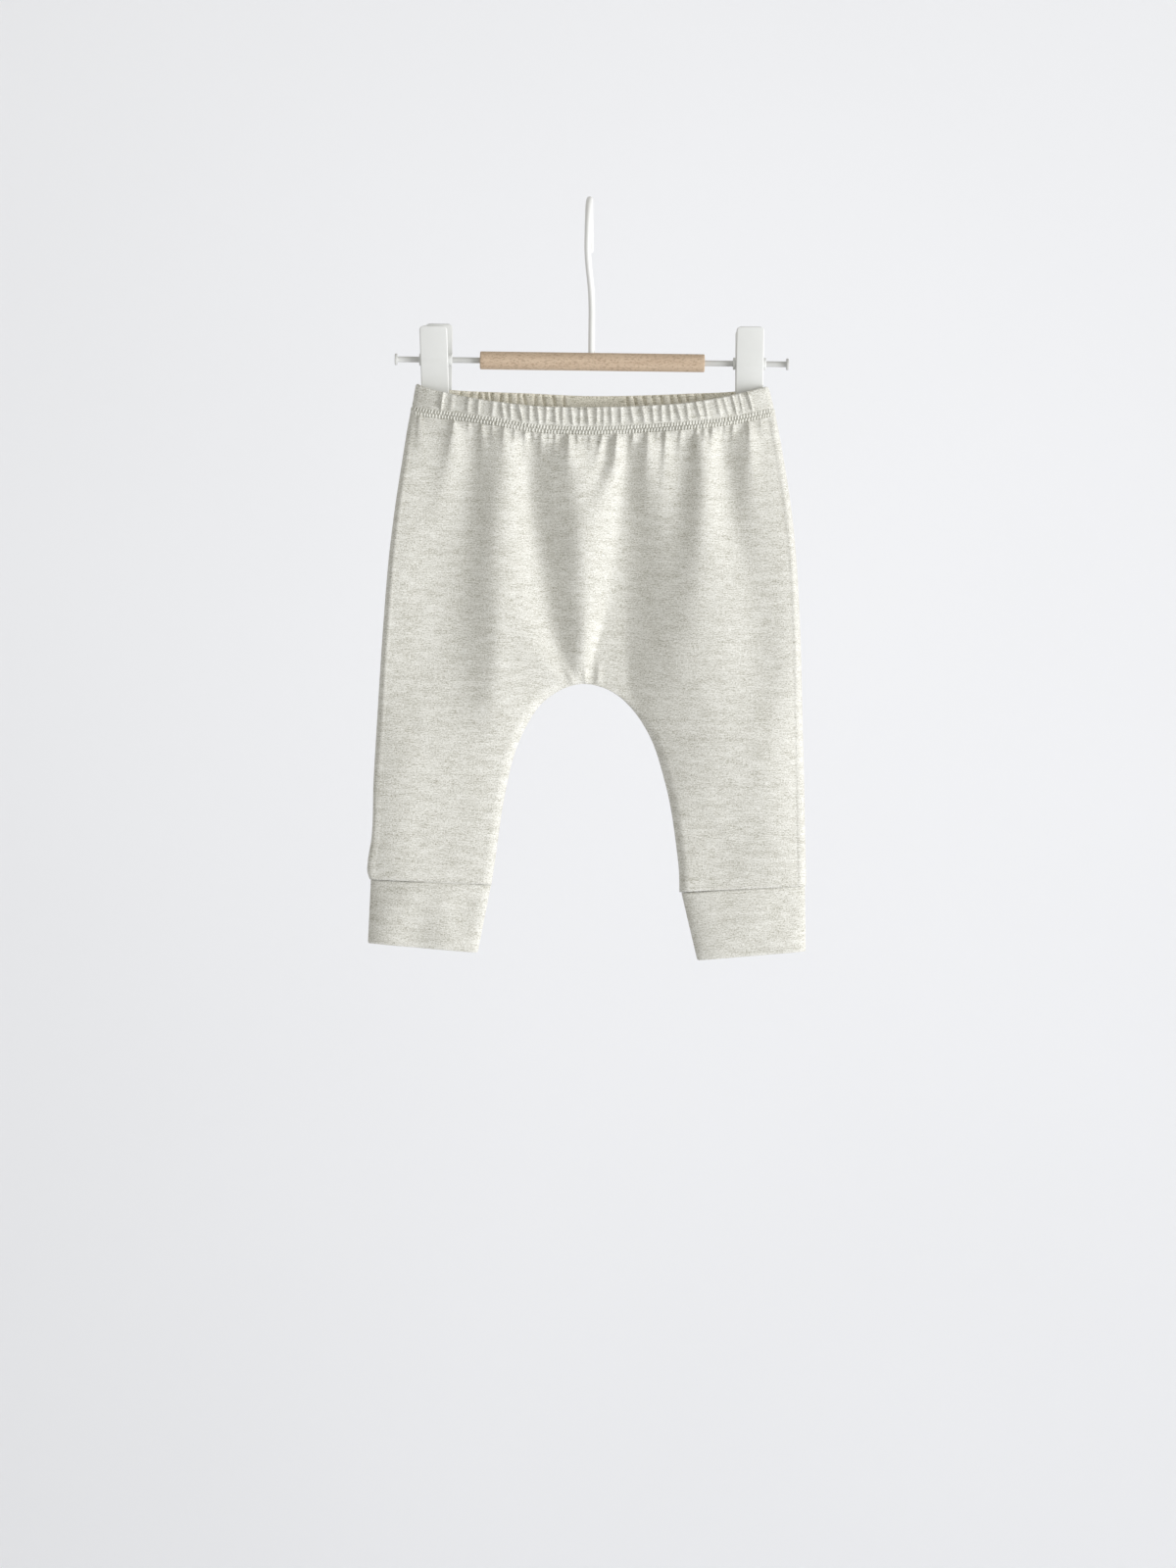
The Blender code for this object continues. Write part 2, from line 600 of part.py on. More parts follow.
def hook_curve():
    """The hook's wire along its smooth route."""
    curve = bpy.data.curves.new("hook", "CURVE")
    curve.dimensions = "3D"
    curve.bevel_depth = HOOK_RADIUS
    curve.bevel_resolution = 2
    curve.use_fill_caps = True
    line = curve.splines.new("POLY")
    points = route([(p.x * MM, p.y * MM, p.z * MM) for p in HOOK], HOOK_POINTS)
    line.points.add(len(points) - 1)
    line.points.foreach_set("co", np.column_stack([points, np.ones(len(points))]).ravel())
    return curve


def rod_mesh():
    """Half the rod's outline, turned about Z by a Screw."""
    half = ROD_LENGTH / 2
    neck = half - ROD_HEAD_THICKNESS
    outline = ((0, half), (ROD_HEAD_RADIUS, half), (ROD_HEAD_RADIUS, neck), (ROD_RADIUS, neck),
               (ROD_RADIUS, -neck), (ROD_HEAD_RADIUS, -neck), (ROD_HEAD_RADIUS, -half), (0, -half))
    mesh = bpy.data.meshes.new("rod")
    mesh.from_pydata([(x, 0, z) for x, z in outline], [(i, i + 1) for i in range(len(outline) - 1)], [])
    return mesh


def plate_mesh(name, outwards, top, lean):
    """One plate of a clip, upright at the pivot: its jaw below, its handle leaning out above."""
    heights = [-JAW_BELOW_ROD, -JAW_FLAT_FROM, 0]
    heights += [(top - CLIP_CORNER / MM * share) * MM for share in (1, 0.45, 0.13, 0)]
    narrowing = [0, 0, 0] + [CLIP_CORNER * share for share in (0, 0.17, 0.5, 1)]
    vertices = []
    for z, narrow in zip(heights, narrowing):
        if z <= 0:
            closing = eased((z + JAW_FLAT_FROM) / JAW_FLAT_FROM)
            inner = JAW_HALF_GAP + (PIVOT_HALF_GAP - JAW_HALF_GAP) * closing
        else:
            inner = PIVOT_HALF_GAP + lean * MM * z / (top * MM)
        half_width = CLIP_WIDTH / 2 - narrow
        for x, y in ((-half_width, inner), (half_width, inner), (half_width, inner + PLATE_THICKNESS),
                     (-half_width, inner + PLATE_THICKNESS)):
            vertices.append((x, y * outwards, z))
    faces = [(0, 1, 2, 3)]
    for row in range(len(heights) - 1):
        a = 4 * row
        for i in range(4):
            j = (i + 1) % 4
            faces.append((a + i, a + j, a + 4 + j, a + 4 + i))
    last = 4 * (len(heights) - 1)
    faces.append((last, last + 1, last + 2, last + 3))
    mesh = bpy.data.meshes.new(name)
    mesh.from_pydata(vertices, [], faces)
    work = bmesh.new()
    work.from_mesh(mesh)
    bmesh.ops.recalc_face_normals(work, faces=work.faces)
    work.to_mesh(mesh)
    work.free()
    return mesh


def build_garment(parent, parts):
    front = panel_mesh("front_panel", -1, "front_seam", "front", FRONT_FOLDS)
    back = panel_mesh("back_panel", 1, "back_seam", "back", BACK_FOLDS)
    place("front_panel", front, JERSEY, parent, parts)
    place("back_panel", back, JERSEY, parent, parts)
    place("waistband", waistband_mesh(), BAND_JERSEY, parent, parts)
    for cuff in CUFFS:
        place(cuff.name, cuff_mesh(cuff), CUFF_JERSEY, parent, parts)


def build_hanger(parent, parts, cutters):
    place("hook", hook_curve(), WHITE_WIRE, parent, parts)
    rod = place("rod", rod_mesh(), WHITE_WIRE, parent, parts, (ROD_CENTRE_X, 0, ROD_HEIGHT_Z),
                (0, math.pi / 2, 0))
    add_modifier(rod, "SCREW", angle=2 * math.pi, steps=ROD_SIDES, render_steps=ROD_SIDES,
                 use_merge_vertices=True, merge_threshold=0.00001, use_smooth_shade=True)
    middle = (GRIP_CENTRE_X, 0, ROD_HEIGHT_Z)
    grip_data = cylinder_mesh("grip", GRIP_RADIUS, GRIP_LENGTH, GRIP_SIDES)
    grip = place("grip", grip_data, BEECH, parent, parts, middle)
    add_modifier(grip, "BEVEL", width=GRIP_EDGE, segments=2, limit_method="ANGLE")
    bore_data = cylinder_mesh("grip_bore", ROD_RADIUS + GAP, GRIP_LENGTH + BORE_OVERRUN, BORE_SIDES)
    bore = place("grip_bore", bore_data, None, parent, cutters, middle)
    seat_length = SEAT_OVERRUN + HOOK_SEAT_DEPTH
    seat_z = ROD_HEIGHT_Z + GRIP_RADIUS + SEAT_OVERRUN - seat_length / 2
    seat_data = cylinder_mesh("hook_seat", HOOK_RADIUS + GAP, seat_length, BORE_SIDES)
    seat = place("hook_seat", seat_data, None, parent, cutters, (HOOK[-1].x * MM, 0, seat_z),
                 (0, math.pi / 2, 0))
    for cutter in (bore, seat):
        cutter.hide_render = True
        cutter.display_type = "WIRE"
        add_modifier(grip, "BOOLEAN", operation="DIFFERENCE", solver="EXACT", object=cutter)
    for clip in CLIPS:
        build_clip(clip, parent, parts, cutters)


def build_clip(clip, parent, parts, cutters):
    """Two plates and the spring barrel between them, which the rod passes through."""
    pivot = bpy.data.objects.new("clip_pivot_" + clip.side, None)
    pivot.location = (clip.x * MM, 0, ROD_HEIGHT_Z)
    pivot.parent = parent
    parts.objects.link(pivot)
    plates = (
        ("front", -1, clip.front_top, clip.front_lean, 0),
        ("back", 1, clip.back_top, clip.back_lean, clip.back_shift),
    )
    for face, outwards, top, lean, shift in plates:
        name = "clip_" + face + "_" + clip.side
        data = plate_mesh(name, outwards, top, lean)
        plate = place(name, data, WHITE_PLATE, pivot, parts, (shift * MM, 0, 0))
        add_modifier(plate, "BEVEL", width=PLATE_EDGE, segments=1, limit_method="ANGLE",
                     angle_limit=PLATE_EDGE_ANGLE)
    length = CLIP_WIDTH + 2 * BARREL_OVERHANG
    barrel_name = "clip_barrel_" + clip.side
    barrel_data = cylinder_mesh(barrel_name, BARREL_RADIUS, length, BARREL_SIDES)
    barrel = place(barrel_name, barrel_data, WHITE_PLATE, pivot, parts)
    cutter_name = "barrel_bore_" + clip.side
    bore_data = cylinder_mesh(cutter_name, ROD_RADIUS + GAP, length + BORE_OVERRUN, BORE_SIDES)
    bore = place(cutter_name, bore_data, None, pivot, cutters)
    bore.hide_render = True
    bore.display_type = "WIRE"
    add_modifier(barrel, "BOOLEAN", operation="DIFFERENCE", solver="EXACT", object=bore)


def main():
    for old in list(bpy.data.objects):
        bpy.data.objects.remove(old, do_unlink=True)
    parts = bpy.data.collections.new(NAME)
    cutters = bpy.data.collections.new("cutters")
    for collection in (parts, cutters):
        bpy.context.scene.collection.children.link(collection)
    hang = bpy.data.objects.new("hang", None)
    hang.rotation_euler = (0, TILT, 0)
    parts.objects.link(hang)
    build_garment(hang, parts)
    build_hanger(hang, parts, cutters)


main()
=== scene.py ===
# Baby leggings in marl jersey, hanging by the back of the waistband from a small clip hanger.
# Everything is in metres, apart from the tables that say mm. The front faces -Y, and the hook rests at the
# origin.
import math

import bmesh
import bpy
import numpy as np
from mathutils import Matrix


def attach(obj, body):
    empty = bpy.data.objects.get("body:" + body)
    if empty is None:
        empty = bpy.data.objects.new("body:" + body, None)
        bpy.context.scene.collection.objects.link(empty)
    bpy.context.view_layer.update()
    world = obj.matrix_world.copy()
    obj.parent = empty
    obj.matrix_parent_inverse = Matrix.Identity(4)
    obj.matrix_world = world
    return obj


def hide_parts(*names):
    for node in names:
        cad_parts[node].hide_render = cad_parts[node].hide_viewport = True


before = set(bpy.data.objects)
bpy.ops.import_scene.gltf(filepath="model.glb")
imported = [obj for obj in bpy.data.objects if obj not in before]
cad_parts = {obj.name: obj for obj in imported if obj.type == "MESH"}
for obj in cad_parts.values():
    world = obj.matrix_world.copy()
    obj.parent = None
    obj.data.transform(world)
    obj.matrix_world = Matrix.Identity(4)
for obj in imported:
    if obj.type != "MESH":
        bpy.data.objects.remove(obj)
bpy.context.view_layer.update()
mm = 0.001

# The whole hanger tips down a little on its right. The side seams lie in one upright plane.
hang = {"tilt": math.radians(0.75), "seamPlaneY": -2.5 * mm}

# The garment at each height in mm: its two edges, the depth and reach of its rounded edge, how far the
# front and the back bulge beyond that, and how far in from the edge the bulge is full.
garmentLevels = {
    "z":     [-398, -393, -388, -375, -340, -302, -250, -205, -180, -150, -135, -124, -113, -107],
    "left":  [-123.4, -125.1, -125.0, -123.1, -122.1, -120.4, -117.7,
              -114.5, -111.7, -107.5, -105.3, -103.4, -101.8, -100.8],
    "right": [131.6, 131.7, 131.5, 131.0, 129.9, 128.4, 126.4,
              123.3, 120.5, 115.6, 112.8, 110.5, 108.3, 106.6],
    "edge":  [3.9, 4.0, 4.0, 4.0, 4.1, 4.3, 4.5, 4.6, 4.5, 4.0, 3.4, 3.1, 3.1, 3.1],
    "run":   [5.5, 5.5, 5.5, 5.5, 5.5, 5.6, 5.8, 5.8, 5.6, 5, 4.2, 3.5, 3.5, 3.5],
    "front": [3.0, 3.3, 3.5, 3.6, 4.2, 5.6, 7.0, 7.4, 7.4, 7.4, 7.7, 8.2, 7.8, 7.2],
    "back":  [2.9, 3.2, 3.4, 3.6, 4.8, 7.0, 9.0, 9.2, 8.5, 5.0, 2.5, 0, 0, 0],
    "belly": [35, 35, 35, 36, 39, 44, 58, 76, 85, 95, 98, 100, 100, 100],
}

# The inseam in mm, from the left cuff over the apex to the right cuff.
inseamPoints = [
    (-52.4, -399.8), (-50.5, -386.2), (-44.6, -344.0), (-39.5, -322.1), (-32.4, -305.5), (-25.2, -294.4),
    (-16.1, -287.0), (-7.1, -282.8), (0.2, -281.6), (9.4, -283.0), (20.4, -288.4), (29.7, -297.3),
    (37.1, -308.1), (48.5, -339.1), (55.4, -375.6), (57.3, -392.0), (57.6, -402.6),
]

# Heights in mm of the waistband's rim and lower seam, front and back.
bandLine = {
    "x":         [-104, -93, -80, -51, -34, 0, 35, 58, 87, 108],
    "frontRim":  [-107.0, -110.6, -113.4, -118.3, -120.0, -120.6, -119.2, -117.3, -111.7, -106.5],
    "backRim":   [-107.0, -109.2, -110.4, -111.4, -111.8, -112.9, -112.0, -110.8, -109.2, -106.5],
    "frontSeam": [-122.4, -124.3, -125.8, -129.6, -132.4, -133.8, -132.0, -130.0, -126.0, -121.0],
    "backSeam":  [-122.4, -123.6, -124.7, -125.7, -126.1, -127.2, -126.3, -125.1, -123.5, -121.0],
}


def spline(at, known, values):
    # Cubic through the known points, each slope taken from its two neighbours.
    known, values = np.asarray(known, float), np.asarray(values, float)
    slopes = np.gradient(values, known)
    at = np.clip(at, known[0], known[-1])
    i = np.clip(np.searchsorted(known, at) - 1, 0, len(known) - 2)
    step = known[i + 1] - known[i]
    t = (at - known[i]) / step
    rise = values[i + 1] - values[i]
    start, end = slopes[i] * step, slopes[i + 1] * step
    return values[i] + start * t + (3 * rise - 2 * start - end) * t**2 + (start + end - 2 * rise) * t**3


def level(column, z):
    # One column of the garment's levels at the height z, in metres.
    return spline(np.asarray(z) / mm, garmentLevels["z"], garmentLevels[column]) * mm


def bandHeight(column, x):
    # One of the band's four lines at the place x, in metres.
    return spline(np.asarray(x) / mm, bandLine["x"], bandLine[column]) * mm


def rounded(distance, run):
    # A quarter ellipse: 0 at the edge with a square start, 1 from run on.
    t = np.clip(distance / run, 0, 1)
    return np.sqrt(1 - (1 - t) ** 2)


def swollen(distance, run):
    # Half a parabola: 0 at the edge, 1 from run on.
    t = np.clip(distance / run, 0, 1)
    return 1 - (1 - t) ** 2


def eased(t):
    # Three t squared less two t cubed: 0 at 0, 1 at 1, and level at both.
    t = np.clip(t, 0, 1)
    return t * t * (3 - 2 * t)


def evenRoute(points, count):
    # A smooth curve through the points, read at even steps of its length.
    points = np.array(points, float)
    along = np.append(0, np.cumsum(np.linalg.norm(np.diff(points, axis=0), axis=1)))
    fine = np.linspace(0, along[-1], 60 * len(points))
    path = np.column_stack([spline(fine, along, points[:, i]) for i in range(points.shape[1])])
    reached = np.append(0, np.cumsum(np.linalg.norm(np.diff(path, axis=0), axis=1)))
    even = np.linspace(0, reached[-1], count)
    return np.column_stack([np.interp(even, reached, path[:, i]) for i in range(points.shape[1])])


def softNoise(a, b, size, seed, waves=14):
    # A smooth uneven field, mostly between -1 and 1: sines of random direction and of about that size.
    rng = np.random.default_rng(seed)
    total = np.zeros(np.broadcast(a, b).shape)
    for _ in range(waves):
        angle, phase = rng.uniform(0, 2 * math.pi, 2)
        length = size * rng.uniform(0.7, 1.6)
        total += np.sin(2 * math.pi * (a * math.cos(angle) + b * math.sin(angle)) / length + phase)
    return total / math.sqrt(waves)


def hung(points):
    # From the hanger's own upright frame to the tipped one.
    x, y, z = points[..., 0], points[..., 1], points[..., 2]
    c, s = math.cos(hang["tilt"]), math.sin(hang["tilt"])
    return np.stack([x * c + z * s, y, z * c - x * s], axis=-1)


def makeMesh(name, points, faces, uv, materialUsed, slot, node, weld=0.002 * mm):
    # One piece from points in the hanger's frame, arrays of triangles or quads, and a pair of uv for each
    # point. It rides the body, carries its material, and may replace a node of the CAD. The slot it is
    # given is not used.
    mesh = bpy.data.meshes.new(name)
    flat = hung(points.reshape(-1, 3)).astype(np.float32)
    corners = np.concatenate([f.ravel() for f in faces]).astype(np.int32)
    sizes = np.concatenate([np.full(len(f), f.shape[1]) for f in faces])
    mesh.vertices.add(len(flat))
    mesh.vertices.foreach_set("co", flat.ravel())
    mesh.loops.add(len(corners))
    mesh.loops.foreach_set("vertex_index", corners)
    mesh.polygons.add(len(sizes))
    mesh.polygons.foreach_set("loop_start", np.append(0, np.cumsum(sizes)[:-1]).astype(np.int32))
    mesh.update(calc_edges=True)
    if uv is not None:
        layer = mesh.uv_layers.new(name="flat")
        layer.data.foreach_set("uv", np.asarray(uv, np.float32).reshape(-1, 2)[corners].ravel())
    piece = bpy.data.objects.new(name, mesh)
    bpy.context.scene.collection.objects.link(piece)
    turnOutwards(mesh, weld)
    mesh.shade_smooth()
    mesh.materials.append(materialUsed)
    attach(piece, "root")
    if node:
        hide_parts(node)
    return piece


def turnOutwards(mesh, weld):
    # Points closer than weld become one, and then every face turns outwards.
    work = bmesh.new()
    work.from_mesh(mesh)
    if weld:
        bmesh.ops.remove_doubles(work, verts=work.verts, dist=weld)
    bmesh.ops.recalc_face_normals(work, faces=work.faces)
    work.to_mesh(mesh)
    work.free()


def gridFaces(ids):
    # A quad between each four neighbours of the grid.
    return np.stack([ids[:-1, :-1], ids[:-1, 1:], ids[1:, 1:], ids[1:, :-1]], axis=2).reshape(-1, 4)


def stripFaces(fine, coarse):
    # Triangles between a line of vertices and one with half as many steps.
    start, middle, end = fine[:-1:2], fine[1::2], fine[2::2]
    near, far = coarse[:-1], coarse[1:]
    return np.vstack([np.column_stack(corners) for corners in (
        (start, middle, near), (middle, far, near), (middle, end, far))])


def loopFaces(ids, closeRows=True):
    # Quads of a grid whose columns run round, and whose rows run round too where closeRows is set.
    rows = np.vstack([ids, ids[:1]]) if closeRows else ids
    return gridFaces(np.hstack([rows, rows[:, :1]]))


def newMaterial(name):
    # An empty material, its nodes and its shader.
    made = bpy.data.materials.new(name)
    made.use_nodes = True
    tree = made.node_tree
    return made, tree, tree.nodes["Principled BSDF"]


def noiseOf(tree, vector, scale, detail=2.0, roughness=0.55):
    # Noise from 0 to 1, with its own scale along each coordinate.
    stretch = tree.nodes.new("ShaderNodeMapping")
    stretch.inputs["Scale"].default_value = scale
    tree.links.new(vector, stretch.inputs["Vector"])
    noise = tree.nodes.new("ShaderNodeTexNoise")
    noise.inputs["Scale"].default_value = 1.0
    noise.inputs["Detail"].default_value = detail
    noise.inputs["Roughness"].default_value = roughness
    tree.links.new(stretch.outputs["Vector"], noise.inputs["Vector"])
    return noise.outputs["Fac"]


def waveOf(tree, vector, rows):
    # Soft lines across the second coordinate, so many to the metre, from 0 to 1.
    split = tree.nodes.new("ShaderNodeSeparateXYZ")
    tree.links.new(vector, split.inputs[0])
    turned = mathOf(tree, "SINE", mathOf(tree, "MULTIPLY", split.outputs["Y"], rows * 2 * math.pi), 0)
    return mathOf(tree, "ADD", mathOf(tree, "MULTIPLY", turned, 0.5), 0.5)


def mathOf(tree, kind, one, other):
    # One step of arithmetic on two values or sockets.
    node = tree.nodes.new("ShaderNodeMath")
    node.operation = kind
    for socket, value in zip(node.inputs, (one, other)):
        if isinstance(value, (int, float)):
            socket.default_value = value
        else:
            tree.links.new(value, socket)
    return node.outputs["Value"]


def sumOf(tree, parts):
    # Each socket times its share, all added up.
    total = None
    for socket, share in parts:
        part = mathOf(tree, "MULTIPLY", socket, share)
        total = part if total is None else mathOf(tree, "ADD", total, part)
    return total


def rampOf(tree, value, stops):
    # A colour that runs through the stops, each a place and a colour.
    ramp = tree.nodes.new("ShaderNodeValToRGB")
    elements = ramp.color_ramp.elements
    while len(elements) < len(stops):
        elements.new(0.5)
    for element, (place, colour) in zip(elements, stops):
        element.position = place
        element.color = (*colour, 1)
    tree.links.new(value, ramp.inputs["Fac"])
    return ramp.outputs["Color"]


def bumpOf(tree, height, strength, distance):
    # Fine relief: the height, up to the distance, tilts the surface.
    bump = tree.nodes.new("ShaderNodeBump")
    bump.inputs["Strength"].default_value = strength
    bump.inputs["Distance"].default_value = distance
    tree.links.new(height, bump.inputs["Height"])
    return bump.outputs["Normal"]


marl = {
    "dark": (0.335, 0.32, 0.252),  # the grey-olive fibres
    "middle": (0.662, 0.65, 0.598),
    "light": (0.862, 0.854, 0.812),
    "places": (0.38, 0.49, 0.59),  # of the three shades in the mixed noise
    "streak": (185, 1250),  # per metre, along and across the knit's rows
    "fine": (620, 2100),
    "speck": (1250, 1900),
    "mottle": (70, 260),
    "rows": 1600,  # of the knit, per metre
    "mix": (0.22, 0.30, 0.31, 0.13, 0.04),  # shares of streak, fine, speck, mottle and rows in the colour
    "relief": (0.5, 0.6, 0.12),  # shares of streak, fine and rows in the relief
    "reliefDepth": 0.22 * mm,
    "roughness": 0.92,
    "sheen": 0.2,
}


def marlJersey(name, tint=(1.0, 1.0, 1.0)):
    # Fibres of three shades, drawn out along the rows of the knit, and a fine fuzzy relief.
    made, tree, shader = newMaterial(name)
    flat = tree.nodes.new("ShaderNodeUVMap")
    flat.uv_map = "flat"
    at = flat.outputs["UV"]
    streak = noiseOf(tree, at, (*marl["streak"], 1), 3.0, 0.6)
    fine = noiseOf(tree, at, (*marl["fine"], 1), 2.0, 0.6)
    mottle = noiseOf(tree, at, (*marl["mottle"], 1), 2.0, 0.5)
    rows = waveOf(tree, at, marl["rows"])
    speck = noiseOf(tree, at, (*marl["speck"], 1), 1.0, 0.5)
    mixed = sumOf(tree, zip((streak, fine, speck, mottle, rows), marl["mix"]))
    shades = [tuple(np.multiply(marl[shade], tint)) for shade in ("dark", "middle", "light")]
    tree.links.new(rampOf(tree, mixed, list(zip(marl["places"], shades))), shader.inputs["Base Color"])
    shader.inputs["Roughness"].default_value = marl["roughness"]
    shader.inputs["Specular IOR Level"].default_value = 0.2
    shader.inputs["Sheen Weight"].default_value = marl["sheen"]
    shader.inputs["Sheen Roughness"].default_value = 0.5
    relief = sumOf(tree, zip((streak, fine, rows), marl["relief"]))
    tree.links.new(bumpOf(tree, relief, 0.45, marl["reliefDepth"]), shader.inputs["Normal"])
    return made


def plainThread(name, low, high):
    # Two shades of one thread, drawn out along its twist.
    made, tree, shader = newMaterial(name)
    spot = tree.nodes.new("ShaderNodeTexCoord").outputs["Object"]
    ply = noiseOf(tree, spot, (900, 900, 2500), 2.0)
    tree.links.new(rampOf(tree, ply, [(0.35, low), (0.65, high)]), shader.inputs["Base Color"])
    shader.inputs["Roughness"].default_value = 0.8
    return made


def satinPaint(name, colour):
    # An even paint with a faint cloud in its colour and gloss, and a fine peel.
    made, tree, shader = newMaterial(name)
    spot = tree.nodes.new("ShaderNodeTexCoord").outputs["Object"]
    cloud = noiseOf(tree, spot, (60, 60, 60), 3.0)
    tint = rampOf(tree, cloud, [(0.3, tuple(c * 0.965 for c in colour)), (0.7, colour)])
    tree.links.new(tint, shader.inputs["Base Color"])
    dull = mathOf(tree, "ADD", mathOf(tree, "MULTIPLY", noiseOf(tree, spot, (400, 400, 400)), 0.16), 0.36)
    tree.links.new(dull, shader.inputs["Roughness"])
    peel = noiseOf(tree, spot, (900, 900, 900), 2.0)
    tree.links.new(bumpOf(tree, peel, 0.12, 0.05 * mm), shader.inputs["Normal"])
    shader.inputs["Coat Weight"].default_value = 0.1
    return made


beech = {"pale": (0.665, 0.52, 0.385), "tone": (0.57, 0.43, 0.31), "fleck": (0.33, 0.225, 0.145)}


def sandedBeech(name):
    # Long soft growth lines along X and short dark flecks.
    made, tree, shader = newMaterial(name)
    spot = tree.nodes.new("ShaderNodeTexCoord").outputs["Object"]
    grain = noiseOf(tree, spot, (18, 420, 420), 4.0, 0.6)
    fleck = noiseOf(tree, spot, (520, 1300, 1300), 2.0, 0.7)
    body = rampOf(tree, grain, [(0.32, beech["tone"]), (0.62, beech["pale"])])
    mark = rampOf(tree, fleck, [(0.36, (1, 1, 1)), (0.50, (0, 0, 0))])
    mix = tree.nodes.new("ShaderNodeMix")
    mix.data_type = "RGBA"
    tree.links.new(mathOf(tree, "MULTIPLY", mark, 0.62), mix.inputs["Factor"])
    tree.links.new(body, mix.inputs["A"])
    mix.inputs["B"].default_value = (*beech["fleck"], 1)
    tree.links.new(mix.outputs["Result"], shader.inputs["Base Color"])
    shader.inputs["Roughness"].default_value = 0.62
    shader.inputs["Specular IOR Level"].default_value = 0.35
    height = mathOf(tree, "ADD", grain, mathOf(tree, "MULTIPLY", fleck, 0.5))
    tree.links.new(bumpOf(tree, height, 0.25, 0.12 * mm), shader.inputs["Normal"])
    return made


jersey = marlJersey("oatmealMarlJersey")
bandJersey = marlJersey("oatmealMarlBand", (0.97, 0.97, 0.97))
# The band's inside: the same marl made lighter, painted light that brightens the shade in the band's
# pocket.
bandInsidePaintedLight = marlJersey("oatmealMarlBandInsidePaintedLight", (1.19, 1.16, 1.09))
cuffJersey = marlJersey("oatmealMarlCuff")
stitchThread = plainThread("creamThread", (0.72, 0.71, 0.65), (0.86, 0.855, 0.81))
# Dark thread for the needle holes: painted shade, standing in for the shadow inside each hole.
paintedNeedleShade = plainThread("paintedNeedleShade", (0.30, 0.29, 0.24), (0.42, 0.41, 0.35))
wirePaint = satinPaint("whiteWirePaint", (0.86, 0.86, 0.85))
platePaint = satinPaint("whitePlatePaint", (0.77, 0.775, 0.76))
rodPaint = satinPaint("greyWhiteRodPaint", (0.62, 0.62, 0.605))
gripWood = sandedBeech("sandedBeech")
print("materials made")


panel = {
    "wall": 1.1 * mm,
    "gap": 0.06 * mm,  # between front and back at the seams
    "topGap": 0.15 * mm,
    "columns": 185,
    "rowsAbove": 120,
    "rowsBelow": 70,
    "apex": (0.2 * mm, -281.6 * mm),
    "sideRowAtApex": -268 * mm,
    "hem": (-397.4 * mm, -398.0 * mm),  # height of the left and the right leg's end at the side seam
    "roll": (0, 0.12, 0.4, 0.85, 1.5, 2.3, 3.2, 4.2),  # mm from an edge, of the columns that turn with it
    "sharper": 0.6,  # share of the levels' run within which the side edge turns
    "leftTighter": 0.28,  # less of that down the left leg
    "rightSofter": 0.08,  # share of the right side's edge that swells instead of turning
    "hipReach": (85 * mm, 60 * mm),  # how far the hips take to swell on the left and on the right
    "seamRoll": 5.5 * mm,
    "seamBelly": 42 * mm,
    "seamRidge": (0.105 * mm, 0.28 * mm),  # lift of the allowance along the left and the right seam
    "seamRidgeWidth": 4.2 * mm,
    "uneven": 0.30 * mm,
    "gatherGain": 1.7,
    "stitched": 2.3,  # mm below the seam that the stitches hold flat
    "opened": 10,  # mm below the stitches by which a fold has its full width
    "gatherSpread": 0.13,  # how much wider a gather gets for each mm that it falls
    "deepest": 0.75,  # a fold's trough stays above this share of the edge's depth
}

